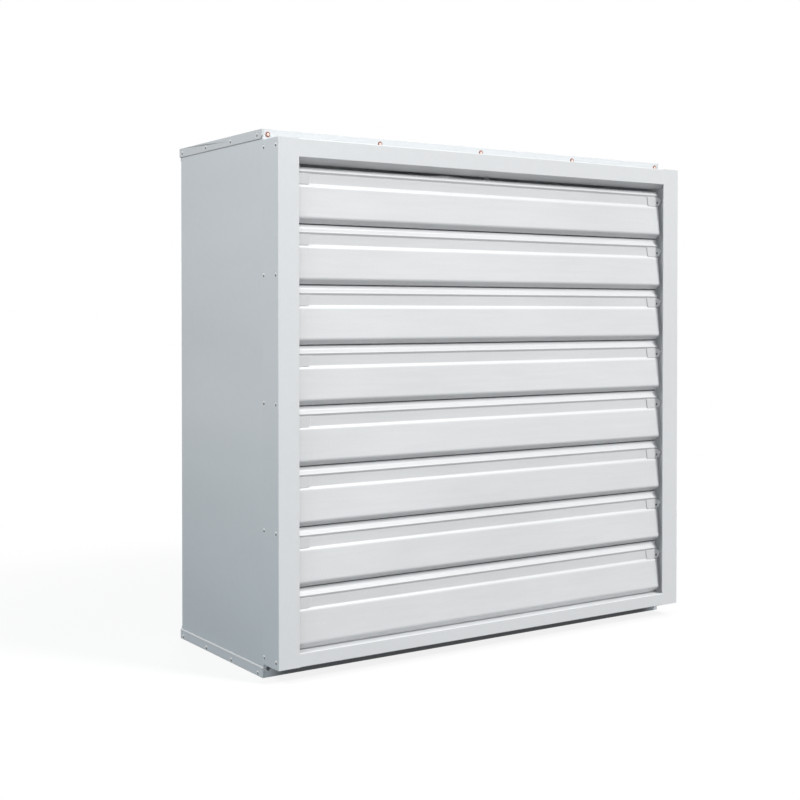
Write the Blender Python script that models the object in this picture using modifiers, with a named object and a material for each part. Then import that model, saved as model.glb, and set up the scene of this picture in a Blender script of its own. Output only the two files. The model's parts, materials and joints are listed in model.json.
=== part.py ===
"""Square axial box fan with a gravity louvre shutter, as separate sheet-metal, cast and turned pieces.

Metres, +Z up. The shutter faces -Y, the inlet guard faces +Y, and the origin is on the floor under the middle.
"""

import math

import bmesh
import bpy
from mathutils import Matrix, Vector

# Driving dimensions of the box and of the shutter frame on its front
BOX_WIDTH = 1.000
BOX_HEIGHT = 1.000
BOX_DEPTH = 0.355
FRAME_DEPTH = 0.060
FRAME_RISE = 0.0263
FRAME_DROP = 0.0207

# Sheets, and the gaps between pieces
PANEL_SHEET = 0.0015
FRAME_SHEET = 0.0012
LOUVRE_SHEET = 0.0010
BLADE_SHEET = 0.0020
BEAM_SHEET = 0.0025
BRIDGE_SHEET = 0.0050
SEAT_GAP = 0.0003
PIVOT_GAP = 0.0003
OVERRUN = 0.0100
MERGE_DISTANCE = 0.000001

# Top and bottom trays
TRAY_SIDE_FLANGE = 0.0172
TRAY_FRONT_FLANGE = 0.0400
TRAY_REAR_FLANGE = 0.0250
TRAY_CORNER_CUT = 0.0060
FIXING_HOLE_RADIUS = 0.0045
TOP_HOLE_INSET = 0.0092
BOTTOM_HOLE_INSET = 0.0165
FIXING_END_INSET = 0.0120
FIXING_HOLE_COUNT = 5

# Side panels
PANEL_TONGUE = 0.0200
PANEL_REAR_FLANGE = 0.0250
PANEL_FOLD_RADIUS = 0.0030

# Shutter frame
STILE_FACE = 0.0443
STILE_SPLAY = 0.0110
STILE_SPLAY_DEPTH = 0.0140
STILE_RETURN = 0.0580
HEAD_FACE = 0.0331
HEAD_LIP_DEPTH = 0.0260
HEAD_LIP_DROP = 0.0095
SILL_FACE = 0.0255
SILL_RETURN = 0.0580
FRAME_FOLD_RADIUS = 0.0015

# Louvres, measured down the blade from its top edge and back from the frame's front
LOUVRE_COUNT = 8
HEAD_MARGIN = 0.0106
SILL_MARGIN = 0.0047
LOUVRE_GAP = 0.0033
LOUVRE_END_GAP = 0.0012
CURL_HEIGHT = 0.0125
CURL_NECK_HEIGHT = 0.0050
GROOVE_HEIGHT = 0.0040
BAND_HEIGHT = 0.0155
RIDGE_HEIGHT = 0.0110
FOLD_HEIGHT = 0.0100
CURL_TOP_DEPTH = 0.0220
CURL_NECK_DEPTH = 0.0213
CURL_LIP_DEPTH = 0.0155
BAND_DEPTH = 0.0182
RIDGE_DEPTH = 0.0135
BULGE_DEPTH = 0.0093
FOLD_DEPTH = 0.0220
CREASE_RADIUS = 0.0016
RIDGE_RADIUS = 0.0060
BULGE_RADIUS = 0.0080

# Pivot clips at the louvre ends, whose pins turn in the stiles' returns
CLIP_LENGTH = 0.0412
CLIP_HEIGHT = 0.0145
CLIP_SHEET = 0.0015
CLIP_OVERHANG = 0.0083
PIVOT_PIN_RADIUS = 0.0025
PIVOT_PIN_LENGTH = 0.0060
PIVOT_PIN_ROOT = 0.0060
PIVOT_HOLE_RADIUS = PIVOT_PIN_RADIUS + PIVOT_GAP

# Tie bar that swings all the louvres together, and the lug that each louvre drives it with
LUG_REACH = 0.0500
LUG_ANGLE = math.radians(40.0)
LUG_SHEET = 0.0020
LUG_BOSS_RADIUS = 0.0060
TIE_PIN_RADIUS = 0.0025
TIE_PIN_TAIL = 0.0020
TIE_BAR_WIDTH = 0.0110
TIE_BAR_SHEET = 0.0020
TIE_BAR_END = 0.0100

# Orifice plate with its bell mouth, measured in from the box's sides and back from its front
THROAT_MARGIN = 0.0470
TIP_CLEARANCE = 0.0080
ORIFICE_SETBACK = 0.2025
MOUTH_RADIUS = 0.0300
MOUTH_RIM = 0.0050
MOUTH_SINK = 0.0005
THROAT_LENGTH = 0.0850

# Impeller
BLADE_COUNT = 6
BLADE_LEAD = 0.1050
BLADE_ROOT_RADIUS = 0.0600
BLADE_CAMBER = 0.0140
CLAMP_RADIUS = 0.0940
CLAMP_PLATE = 0.0050
HUB_RADIUS = 0.0980
HUB_PLATE = 0.0080
HUB_BOSS_RADIUS = 0.0300
HUB_BOSS_LENGTH = 0.0520
SHAFT_RADIUS = 0.0125
SHAFT_HEAD_RADIUS = 0.0220
SHAFT_HEAD_LENGTH = 0.0120
SHAFT_TAIL = 0.0040

# Belt drive
DRIVEN_PULLEY_RADIUS = 0.1500
DRIVE_PULLEY_RADIUS = 0.0480
PULLEY_WIDTH = 0.0240
PULLEY_RIM = 0.0160
PULLEY_WEB = 0.0080
PULLEY_BOSS_RADIUS = 0.0280
GROOVE_DEPTH = 0.0110
GROOVE_FLOOR = 0.0090
GROOVE_MOUTH = 0.0140
BELT_WIDTH = 0.0080
BELT_THICKNESS = 0.0080
BELT_GAP = 0.0008
LIGHTENING_HOLE_COUNT = 5
LIGHTENING_HOLE_RADIUS = 0.0250
SHAFT_DISTANCE = 0.3000

# Support beams, bearing bridge and bearings
BEAM_SPACING = 0.2200
BEAM_FLANGE = 0.0400
BEAM_DEPTH = 0.0450
BEAM_FOLD_RADIUS = 0.0040
BRIDGE_HEIGHT = 0.1400
BRIDGE_LIP = 0.0180
BEARING_TUBE_RADIUS = 0.0360
BEARING_BORE_RADIUS = 0.0260
BEARING_TUBE_FRONT = 0.0500
BEARING_TUBE_REAR = 0.0580
BEARING_FLANGE_RADIUS = 0.0550
BEARING_FLANGE = 0.0080
BEARING_WIDTH = 0.0150
BEARING_INSET = 0.0040

# Motor
MOTOR_AXIS_HEIGHT = 0.0800
MOTOR_CORE_RADIUS = 0.0600
MOTOR_FIN_RADIUS = 0.0690
MOTOR_FIN_COUNT = 20
MOTOR_FIN_SHARE = 0.42
MOTOR_BODY_LENGTH = 0.0800
MOTOR_SHIELD_RADIUS = 0.0640
MOTOR_SHIELD_LENGTH = 0.0160
MOTOR_NOSE_RADIUS = 0.0260
MOTOR_NOSE_LENGTH = 0.0080
MOTOR_COWL_RADIUS = 0.0670
MOTOR_COWL_LENGTH = 0.0280
MOTOR_COWL_ROUND = 0.0100
MOTOR_FOOT_WIDTH = 0.0340
MOTOR_FOOT_SPREAD = 0.0620
MOTOR_FOOT_LENGTH = 0.0680
MOTOR_FOOT_SOLE = 0.0100
MOTOR_SHAFT_RADIUS = 0.0095
MOTOR_SHAFT_SEAT = 0.0300
MOTOR_BORE_EXTRA = 0.0050
MOTOR_PLATE_SHEET = 0.0030
MOTOR_PLATE_DEPTH = 0.1150
MOTOR_PLATE_FLANGE = 0.0300
TERMINAL_BOX_WIDTH = 0.0900
TERMINAL_BOX_LENGTH = 0.0700
TERMINAL_BOX_HEIGHT = 0.0420
TERMINAL_BOX_ROUND = 0.0040
GLAND_RADIUS = 0.0100
GLAND_NUT_RADIUS = 0.0130
GLAND_NUT_LENGTH = 0.0080
GLAND_LENGTH = 0.0240
GLAND_BORE_RADIUS = 0.0050

# Inlet guard
GUARD_CELLS = 12
GUARD_WIRE = 0.0030
GUARD_RIM = 0.0120

# Facets round a full circle
FINE_STEPS = 48
MEDIUM_STEPS = 24
COARSE_STEPS = 12
FOLD_STEPS = 3
MOUTH_STEPS = 4

# Places worked out from the driving dimensions
TOTAL_DEPTH = FRAME_DEPTH + BOX_DEPTH
FRONT_Y = -TOTAL_DEPTH / 2
BACK_Y = TOTAL_DEPTH / 2
BOX_FRONT_Y = FRONT_Y + FRAME_DEPTH
HALF_WIDTH = BOX_WIDTH / 2
FRAME_TOP = BOX_HEIGHT - FRAME_DROP
OPENING_HALF = HALF_WIDTH - STILE_FACE
OPENING_TOP = FRAME_TOP - HEAD_FACE
OPENING_BOTTOM = FRAME_RISE + SILL_FACE
PANEL_OUTSIDE = HALF_WIDTH - PANEL_SHEET - SEAT_GAP
LOUVRE_PITCH = (OPENING_TOP - OPENING_BOTTOM - HEAD_MARGIN - SILL_MARGIN + LOUVRE_GAP) / LOUVRE_COUNT
LOUVRE_HEIGHT = LOUVRE_PITCH - LOUVRE_GAP
LOUVRE_HALF = OPENING_HALF - LOUVRE_END_GAP
BAND_TOP = CURL_HEIGHT + GROOVE_HEIGHT
BAND_BOTTOM = BAND_TOP + BAND_HEIGHT
AXIS_DROP = BAND_TOP + BAND_HEIGHT / 2
CLIP_DEPTH = BAND_DEPTH - SEAT_GAP - CLIP_SHEET / 2
CLIP_TIP = OPENING_HALF + CLIP_OVERHANG
PIVOT_Y = FRONT_Y + CLIP_DEPTH
FIRST_PIVOT_Z = OPENING_TOP - HEAD_MARGIN - AXIS_DROP
RETURN_X = OPENING_HALF + STILE_SPLAY
TIE_Y = PIVOT_Y + LUG_REACH * math.cos(LUG_ANGLE)
TIE_LIFT = LUG_REACH * math.sin(LUG_ANGLE)
SHAFT_Z = BOX_HEIGHT / 2
MOTOR_Z = SHAFT_Z - SHAFT_DISTANCE
ORIFICE_Y = BOX_FRONT_Y + ORIFICE_SETBACK
THROAT_RADIUS = min(BOX_WIDTH, BOX_HEIGHT) / 2 - THROAT_MARGIN
IMPELLER_RADIUS = THROAT_RADIUS - TIP_CLEARANCE
BLADE_Y = ORIFICE_Y - BLADE_LEAD
HUB_FRONT_Y = BLADE_Y + BLADE_SHEET / 2 + SEAT_GAP
HUB_BACK_Y = HUB_FRONT_Y + HUB_PLATE + HUB_BOSS_LENGTH
CLAMP_BACK_Y = BLADE_Y - BLADE_SHEET / 2 - SEAT_GAP
PULLEY_Y = HUB_BACK_Y + SEAT_GAP + PULLEY_WIDTH / 2
BEAM_FRONT_Y = ORIFICE_Y + PANEL_SHEET + MOUTH_SINK + SEAT_GAP
BEAM_BACK_Y = BEAM_FRONT_Y + BEAM_DEPTH
BRIDGE_FRONT_Y = BEAM_BACK_Y + SEAT_GAP
BEARING_FLANGE_Y = BRIDGE_FRONT_Y + BRIDGE_SHEET + SEAT_GAP
BEARING_FRONT_Y = BEARING_FLANGE_Y - BEARING_TUBE_FRONT
BEARING_BACK_Y = BEARING_FLANGE_Y + BEARING_TUBE_REAR
MOTOR_PLATE_TOP = MOTOR_Z - MOTOR_AXIS_HEIGHT
MOTOR_FRONT_Y = BEAM_FRONT_Y + MOTOR_NOSE_LENGTH
MOTOR_SHIELD_Y = MOTOR_FRONT_Y + MOTOR_SHIELD_LENGTH
MOTOR_BACK_Y = MOTOR_SHIELD_Y + MOTOR_BODY_LENGTH

# Steel, zinc, cast iron and paint, as colour, roughness and metallic
FINISHES = {
    "coated_sheet": ((0.80, 0.81, 0.82), 0.42, 0.0),
    "side_sheet": ((0.62, 0.66, 0.69), 0.45, 0.0),
    "louvre_sheet": ((0.84, 0.85, 0.85), 0.38, 0.0),
    "zinc_steel": ((0.60, 0.61, 0.62), 0.40, 1.0),
    "cast_grey": ((0.22, 0.23, 0.24), 0.55, 0.2),
    "motor_blue": ((0.10, 0.18, 0.30), 0.45, 0.0),
    "turned_steel": ((0.55, 0.55, 0.56), 0.28, 1.0),
    "black_rubber": ((0.03, 0.03, 0.03), 0.75, 0.0),
    "black_plastic": ((0.05, 0.05, 0.05), 0.50, 0.0),
}


def clear_scene():
    """Remove every object, and the collections and meshes that earlier runs left."""
    for thing in list(bpy.data.objects):
        bpy.data.objects.remove(thing, do_unlink=True)
    for group in list(bpy.data.collections):
        bpy.data.collections.remove(group)


def make_collection(name):
    group = bpy.data.collections.new(name)
    bpy.context.scene.collection.children.link(group)
    return group


def make_materials():
    """One Principled material for each finish."""
    made = {}
    for name, (colour, roughness, metallic) in FINISHES.items():
        finish = bpy.data.materials.new(name)
        finish.use_nodes = True
        shader = finish.node_tree.nodes["Principled BSDF"]
        shader.inputs["Base Color"].default_value = (*colour, 1.0)
        shader.inputs["Roughness"].default_value = roughness
        shader.inputs["Metallic"].default_value = metallic
        finish.diffuse_color = (*colour, 1.0)
        made[name] = finish
    return made


clear_scene()
PARTS = make_collection("axial_box_fan")
CUTTERS = make_collection("cutters")
MATERIALS = make_materials()

ALONG_Y = Matrix.Rotation(-math.pi / 2, 4, "X")
ALONG_X = Matrix.Rotation(math.pi / 2, 4, "Y")
FACING_X = Matrix.Rotation(math.pi / 2, 4, "Z") @ Matrix.Rotation(math.pi / 2, 4, "X")


def add_object(name, mesh, place=(0, 0, 0), turn=None, finish=None, parent=None):
    """Link a mesh as a part, or as a cutter where no finish is given."""
    thing = bpy.data.objects.new(name, mesh)
    matrix = Matrix.Translation(place)
    if turn is not None:
        matrix = matrix @ turn
    if finish is None:
        CUTTERS.objects.link(thing)
        thing.hide_render = True
        thing.display_type = "WIRE"
    else:
        PARTS.objects.link(thing)
        if not mesh.materials:
            mesh.materials.append(MATERIALS[finish])
    if parent is not None:
        thing.parent = parent
        matrix = Matrix.Translation(-parent.location) @ matrix
    thing.matrix_basis = matrix
    return thing


def add_empty(name, place):
    """An empty on a joint's axis, which carries the pieces that turn about it."""
    empty = bpy.data.objects.new(name, None)
    PARTS.objects.link(empty)
    empty.location = place
    return empty


def block_mesh(name, low, high):
    """A box between two corners, about its own middle; returns the mesh and the middle."""
    low, high = Vector(low), Vector(high)
    size = high - low
    mesh = bpy.data.meshes.new(name)
    shape = bmesh.new()
    bmesh.ops.create_cube(shape, size=1.0)
    bmesh.ops.scale(shape, vec=size, verts=shape.verts)
    shape.to_mesh(mesh)
    shape.free()
    return mesh, (low + high) / 2


def add_block(name, low, high, finish=None, parent=None):
    mesh, middle = block_mesh(name, low, high)
    return add_object(name, mesh, middle, None, finish, parent)


def cylinder_mesh(name, radius, length, steps):
    """A cylinder about its own middle, along Z."""
    mesh = bpy.data.meshes.new(name)
    shape = bmesh.new()
    bmesh.ops.create_cone(shape, cap_ends=True, segments=steps, radius1=radius, radius2=radius, depth=length)
    shape.to_mesh(mesh)
    shape.free()
    return mesh


def add_cylinder(name, radius, start, end, steps, finish=None, parent=None):
    """A cylinder between two points that lie along X, Y or Z."""
    start, end = Vector(start), Vector(end)
    along = end - start
    turn = along.to_track_quat("Z", "Y").to_matrix().to_4x4()
    mesh = cylinder_mesh(name, radius, along.length, steps)
    return add_object(name, mesh, (start + end) / 2, turn, finish, parent)


def boolean(target, tool, operation):
    step = target.modifiers.new(operation.lower() + "_" + tool.name, "BOOLEAN")
    step.operation = operation
    step.solver = "EXACT"
    step.object = tool
    return step


def cut(target, *tools):
    for tool in tools:
        boolean(target, tool, "DIFFERENCE")


def join(target, *tools):
    for tool in tools:
        boolean(target, tool, "UNION")


def rounded_path(corners, steps=FOLD_STEPS):
    """Points along a path whose corners are (a, b, radius); a radius of 0 keeps the corner sharp."""
    points = []
    last = len(corners) - 1
    for index, (a, b, radius) in enumerate(corners):
        here = Vector((a, b))
        if radius == 0 or index in (0, last):
            points.append(here)
            continue
        before = Vector(corners[index - 1][:2]) - here
        after = Vector(corners[index + 1][:2]) - here
        bend = before.angle(after)
        reach = radius / math.tan(bend / 2)
        start = here + before.normalized() * reach
        end = here + after.normalized() * reach
        centre = here + (before.normalized() + after.normalized()).normalized() * (radius / math.sin(bend / 2))
        sweep = (start - centre).angle_signed(end - centre)
        for step in range(steps + 1):
            spoke = start - centre
            spoke.rotate(Matrix.Rotation(-sweep * step / steps, 2))
            points.append(centre + spoke)
    return points


def add_folded_sheet(name, path, run, axis, sheet, side, finish, place=(0, 0, 0), parent=None):
    """A sheet folded along a path and drawn out along X, Y or Z, with its thickness on one side of the path."""
    start, end = run
    to_space = {
        "X": lambda a, b, along: (along, a, b),
        "Y": lambda a, b, along: (a, along, b),
        "Z": lambda a, b, along: (a, b, along),
    }[axis]
    middle = Vector(place)
    mesh = bpy.data.meshes.new(name)
    shape = bmesh.new()
    rows = []
    for along in (start, end):
        rows.append([shape.verts.new(Vector(to_space(a, b, along)) - middle) for a, b in path])
    for first, second, third, fourth in zip(rows[0], rows[0][1:], rows[1][1:], rows[1]):
        shape.faces.new((first, second, third, fourth))
    shape.to_mesh(mesh)
    shape.free()
    sheet_part = add_object(name, mesh, middle, None, finish, parent)
    thicken(sheet_part, sheet, side)
    return sheet_part


def thicken(thing, sheet, side):
    step = thing.modifiers.new("thickness", "SOLIDIFY")
    step.thickness = sheet
    step.offset = side
    step.use_even_offset = True
    return step


def turned_mesh(name, profile):
    """The outline that a Screw modifier turns; (radius, height) points, top to bottom on the outer side."""
    mesh = bpy.data.meshes.new(name)
    shape = bmesh.new()
    points = [shape.verts.new((radius, 0, height)) for radius, height in profile]
    for first, second in zip(points, points[1:]):
        shape.edges.new((first, second))
    if profile[0][0] > 0:
        shape.edges.new((points[-1], points[0]))
    shape.to_mesh(mesh)
    shape.free()
    return mesh


def add_turned(name, profile, place, steps, finish=None, parent=None, turn=ALONG_Y):
    """A turned piece; its profile's heights run along +Y."""
    thing = add_object(name, turned_mesh(name, profile), place, turn, finish, parent)
    step = thing.modifiers.new("turned", "SCREW")
    step.steps = steps
    step.render_steps = steps
    step.use_merge_vertices = True
    step.merge_threshold = MERGE_DISTANCE
    step.use_smooth_shade = False
    return thing


def plate_mesh(name, outlines, sheet):
    """A flat plate in the XY plane, of one outline and any holes, as a mesh."""
    curve = bpy.data.curves.new(name, "CURVE")
    curve.dimensions = "2D"
    curve.fill_mode = "BOTH"
    curve.extrude = sheet / 2
    for outline in outlines:
        spline = curve.splines.new("POLY")
        spline.points.add(len(outline) - 1)
        for point, (a, b) in zip(spline.points, outline):
            point.co = (a, b, 0, 1)
        spline.use_cyclic_u = True
    drawn = bpy.data.objects.new(name, curve)
    CUTTERS.objects.link(drawn)
    evaluated = drawn.evaluated_get(bpy.context.evaluated_depsgraph_get())
    mesh = bpy.data.meshes.new_from_object(evaluated)
    bpy.data.objects.remove(drawn, do_unlink=True)
    shape = bmesh.new()
    shape.from_mesh(mesh)
    bmesh.ops.remove_doubles(shape, verts=shape.verts, dist=MERGE_DISTANCE)
    bmesh.ops.recalc_face_normals(shape, faces=shape.faces)
    shape.to_mesh(mesh)
    shape.free()
    mesh.materials.clear()
    return mesh


def arc(centre, radius, start, end, steps):
    """Points on an arc, both ends included, angles in radians."""
    a, b = centre
    angles = [start + (end - start) * step / steps for step in range(steps + 1)]
    return [(a + radius * math.cos(angle), b + radius * math.sin(angle)) for angle in angles]


# Box


def fixing_places():
    """X of the fixing holes along a tray's front flange."""
    reach = HALF_WIDTH - FIXING_END_INSET
    spacing = 2 * reach / (FIXING_HOLE_COUNT - 1)
    return [-reach + spacing * i for i in range(FIXING_HOLE_COUNT)]


def add_tray(name, level, inward, hole_inset):
    """The top or bottom tray: a sheet with flanges turned over the sides, the front and the back."""

    def slab(part_name, across, along, depth, finish=None):
        """A block between pairs of X, of Y and of depths inwards from the tray's outer face."""
        low, high = sorted((level + inward * depth[0], level + inward * depth[1]))
        return add_block(part_name, (across[0], along[0], low), (across[1], along[1], high), finish)

    deepest = max(TRAY_SIDE_FLANGE, TRAY_FRONT_FLANGE, TRAY_REAR_FLANGE) + OVERRUN
    inside = HALF_WIDTH - PANEL_SHEET
    front_end = PANEL_OUTSIDE - PANEL_SHEET - SEAT_GAP
    side_end = (front_end + inside) / 2
    front_inner, rear_inner = BOX_FRONT_Y + PANEL_SHEET, BACK_Y - PANEL_SHEET
    tray = slab(name, (-HALF_WIDTH, HALF_WIDTH), (BOX_FRONT_Y, BACK_Y), (0, deepest), "side_sheet")
    hollow = [
        (-inside, rear_inner),
        (-inside, BOX_FRONT_Y - OVERRUN),
        (-front_end, BOX_FRONT_Y - OVERRUN),
        (-front_end, front_inner),
        (front_end, front_inner),
        (front_end, BOX_FRONT_Y - OVERRUN),
        (inside, BOX_FRONT_Y - OVERRUN),
        (inside, rear_inner),
    ]
    rise = deepest + OVERRUN - PANEL_SHEET
    middle = level + inward * (PANEL_SHEET + rise / 2)
    cut(tray, add_object(name + "_hollow", plate_mesh(name + "_hollow", [hollow], rise), (0, 0, middle)))
    whole = (-HALF_WIDTH - OVERRUN, HALF_WIDTH + OVERRUN)
    front = (BOX_FRONT_Y - OVERRUN, front_inner + OVERRUN)
    rear = (rear_inner - OVERRUN, BACK_Y + OVERRUN)
    both = (BOX_FRONT_Y - OVERRUN, BACK_Y + OVERRUN)
    left, right = (-HALF_WIDTH - OVERRUN, -side_end), (side_end, HALF_WIDTH + OVERRUN)
    for part_name, across, along, flange in (
        ("front_trim", whole, front, TRAY_FRONT_FLANGE),
        ("rear_trim", whole, rear, TRAY_REAR_FLANGE),
        ("left_trim", left, both, TRAY_SIDE_FLANGE),
        ("right_trim", right, both, TRAY_SIDE_FLANGE),
    ):
        cut(tray, slab(f"{name}_{part_name}", across, along, (flange, deepest + OVERRUN)))
    turned = Matrix.Rotation(math.pi / 4, 4, "X")
    nick = TRAY_CORNER_CUT * math.sqrt(0.5)
    edge = level + inward * TRAY_SIDE_FLANGE
    for side in (-1, 1):
        cutter = block_mesh(name + "_nick", (-PANEL_SHEET, -nick, -nick), (PANEL_SHEET, nick, nick))[0]
        place = (side * (HALF_WIDTH - PANEL_SHEET / 2), BOX_FRONT_Y, edge)
        cut(tray, add_object(f"{name}_nick_{side}", cutter, place, turned))
    hole_z = level + inward * hole_inset
    for index, x in enumerate(fixing_places()):
        ends = ((x, BOX_FRONT_Y - OVERRUN, hole_z), (x, BOX_FRONT_Y + PANEL_SHEET + OVERRUN, hole_z))
        cut(tray, add_cylinder(f"{name}_fixing_{index}", FIXING_HOLE_RADIUS, *ends, COARSE_STEPS))


def add_side_panel(name, side):
    """A side sheet between the trays, with a tongue behind the stile and a flange turned in at the back."""
    outside = side * PANEL_OUTSIDE
    back = BACK_Y - PANEL_SHEET - SEAT_GAP
    path = rounded_path([
        (outside, BOX_FRONT_Y - PANEL_TONGUE, 0),
        (outside, back, PANEL_FOLD_RADIUS),
        (outside - side * PANEL_REAR_FLANGE, back, 0),
    ])
    low, high = PANEL_SHEET + SEAT_GAP, BOX_HEIGHT - PANEL_SHEET - SEAT_GAP
    panel = add_folded_sheet(name, path, (low, high), "Z", PANEL_SHEET, -side, "side_sheet")
    tongue_low = FRAME_RISE + FRAME_SHEET + SEAT_GAP
    tongue_high = FRAME_TOP - FRAME_SHEET - SEAT_GAP
    near, far = sorted((outside - side * OVERRUN, outside + side * OVERRUN))
    for end, bottom, top in (("foot", low - OVERRUN, tongue_low), ("head", tongue_high, high + OVERRUN)):
        corner = ((near, BOX_FRONT_Y - PANEL_TONGUE - OVERRUN, bottom), (far, BOX_FRONT_Y - SEAT_GAP, top))
        cut(panel, add_block(f"{name}_{end}_notch", *corner))


def add_orifice_plate():
    """A square sheet with a round mouth that curves into the throat around the blades."""
    half = PANEL_OUTSIDE - PANEL_SHEET - SEAT_GAP
    low = (-half, ORIFICE_Y, PANEL_SHEET + SEAT_GAP)
    high = (half, ORIFICE_Y + PANEL_SHEET, BOX_HEIGHT - PANEL_SHEET - SEAT_GAP)
    plate = add_block("orifice_plate", low, high, "coated_sheet")
    middle = (0, ORIFICE_Y, SHAFT_Z)
    mouth = THROAT_RADIUS + MOUTH_RADIUS
    hole_ends = ((0, ORIFICE_Y - OVERRUN, SHAFT_Z), (0, ORIFICE_Y + OVERRUN, SHAFT_Z))
    cut(plate, add_cylinder("mouth_hole", mouth, *hole_ends, FINE_STEPS))
    bend = (mouth, -MOUTH_RADIUS)
    inner = arc(bend, MOUTH_RADIUS, math.pi / 2, math.pi, MOUTH_STEPS)
    outer = arc(bend, MOUTH_RADIUS - PANEL_SHEET, math.pi / 2, math.pi, MOUTH_STEPS)
    top = PANEL_SHEET + MOUTH_SINK
    rim = mouth + MOUTH_RIM
    profile = [(rim, top), (rim, top - PANEL_SHEET)]
    profile += [(radius, height + top) for radius, height in outer]
    profile += [(outer[-1][0], -THROAT_LENGTH), (inner[-1][0], -THROAT_LENGTH)]
    profile += [(radius, height + top) for radius, height in inner[::-1]]
    join(plate, add_turned("mouth_ring", profile, middle, FINE_STEPS))


# Shutter frame


def stile_section(inset):
    """The stile's cross-section, open at the rear: distance from the middle, and depth, less an inset."""
    bend = math.atan2(STILE_SPLAY_DEPTH, STILE_SPLAY)
    corner = OPENING_HALF - FRAME_FOLD_RADIUS * (1 / math.tan(bend / 2) - 1)
    nose = corner + inset / math.tan(bend / 2)
    return [
        (HALF_WIDTH - inset, BOX_FRONT_Y - SEAT_GAP, 0),
        (HALF_WIDTH - inset, FRONT_Y + inset, FRAME_FOLD_RADIUS),
        (nose + inset, FRONT_Y + inset, FRAME_FOLD_RADIUS),
        (RETURN_X + inset, FRONT_Y + STILE_SPLAY_DEPTH, FRAME_FOLD_RADIUS),
        (RETURN_X + inset, FRONT_Y + STILE_RETURN, 0),
    ]


def add_stile(name, side):
    """One upright of the shutter frame: a channel with closed ends and a hole for every clip's pin."""
    path = [(side * x, y) for x, y in rounded_path(stile_section(0))]
    stile = add_folded_sheet(name, path, (FRAME_RISE, FRAME_TOP), "Z", FRAME_SHEET, side, "coated_sheet")
    section = [(side * x, y) for x, y in rounded_path(stile_section(FRAME_SHEET / 2))]
    tab = plate_mesh(name + "_tab", [section], FRAME_SHEET)
    for end, z in (("foot", FRAME_RISE + FRAME_SHEET / 2), ("head", FRAME_TOP - FRAME_SHEET / 2)):
        join(stile, add_object(f"{name}_{end}", tab, (0, 0, z)))
    for index in range(LOUVRE_COUNT):
        z = FIRST_PIVOT_Z - LOUVRE_PITCH * index
        near, far = side * (RETURN_X - PIVOT_PIN_RADIUS), side * (RETURN_X + PIVOT_PIN_RADIUS)
        ends = ((near, PIVOT_Y, z), (far, PIVOT_Y, z))
        cut(stile, add_cylinder(f"{name}_hole_{index}", PIVOT_HOLE_RADIUS, *ends, COARSE_STEPS))


def add_rail(name, corners, side):
    """A rail between the stiles, trimmed to the slope of their inner sides."""
    reach = RETURN_X - SEAT_GAP
    rail = add_folded_sheet(name, rounded_path(corners), (-reach, reach), "X", FRAME_SHEET, side, "coated_sheet")
    edge = OPENING_HALF - SEAT_GAP
    outline = [
        (edge, FRONT_Y - OVERRUN),
        (edge, FRONT_Y + FRAME_FOLD_RADIUS + FRAME_SHEET / 2),
        (reach, FRONT_Y + STILE_SPLAY_DEPTH + SEAT_GAP),
        (reach, BOX_FRONT_Y + OVERRUN),
        (HALF_WIDTH, BOX_FRONT_Y + OVERRUN),
        (HALF_WIDTH, FRONT_Y - OVERRUN),
    ]
    for side in (-1, 1):
        trimmer = plate_mesh(f"{name}_trim_{side}", [[(side * x, y) for x, y in outline]], BOX_HEIGHT)
        cut(rail, add_object(f"{name}_trim_{side}", trimmer, (0, 0, BOX_HEIGHT / 2)))


def add_rails():
    """The head, whose lip slopes down behind the opening, and the sill, whose return is level."""
    rear = BOX_FRONT_Y - SEAT_GAP
    head = (
        (rear, FRAME_TOP, 0),
        (FRONT_Y, FRAME_TOP, FRAME_FOLD_RADIUS),
        (FRONT_Y, OPENING_TOP, FRAME_FOLD_RADIUS),
        (FRONT_Y + HEAD_LIP_DEPTH, OPENING_TOP - HEAD_LIP_DROP, 0),
    )
    sill = (
        (rear, FRAME_RISE, 0),
        (FRONT_Y, FRAME_RISE, FRAME_FOLD_RADIUS),
        (FRONT_Y, OPENING_BOTTOM, FRAME_FOLD_RADIUS),
        (FRONT_Y + SILL_RETURN, OPENING_BOTTOM, 0),
    )
    add_rail("top_rail", head, -1)
    add_rail("bottom_rail", sill, 1)


# Louvres


def louvre_path():
    """The blade's front outline, about the pivot: back from the pivot, and up from it."""
    main_bottom = LOUVRE_HEIGHT - FOLD_HEIGHT
    corners = (
        (CURL_TOP_DEPTH, 0, 0),
        (CURL_NECK_DEPTH, CURL_NECK_HEIGHT, BULGE_RADIUS),
        (CURL_LIP_DEPTH, CURL_HEIGHT, CREASE_RADIUS),
        (BAND_DEPTH, BAND_TOP, CREASE_RADIUS),
        (BAND_DEPTH, BAND_BOTTOM, CREASE_RADIUS),
        (RIDGE_DEPTH, BAND_BOTTOM + RIDGE_HEIGHT, RIDGE_RADIUS),
        (BULGE_DEPTH, main_bottom, BULGE_RADIUS),
        (FOLD_DEPTH, LOUVRE_HEIGHT, 0),
    )
    return rounded_path([(depth - CLIP_DEPTH, AXIS_DROP - drop, radius) for depth, drop, radius in corners])


def lug_outline():
    """The tie lug, an arm from the back of the band to its pin."""
    back = BAND_DEPTH + LOUVRE_SHEET / 2 - CLIP_DEPTH
    rise = BAND_HEIGHT / 2 - LOUVRE_SHEET
    boss = (LUG_REACH * math.cos(LUG_ANGLE), LUG_REACH * math.sin(LUG_ANGLE))
    end = arc(boss, LUG_BOSS_RADIUS, LUG_ANGLE - math.pi / 2, LUG_ANGLE + math.pi / 2, COARSE_STEPS // 2)
    return [(back, -rise)] + end + [(back, rise)]


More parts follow.
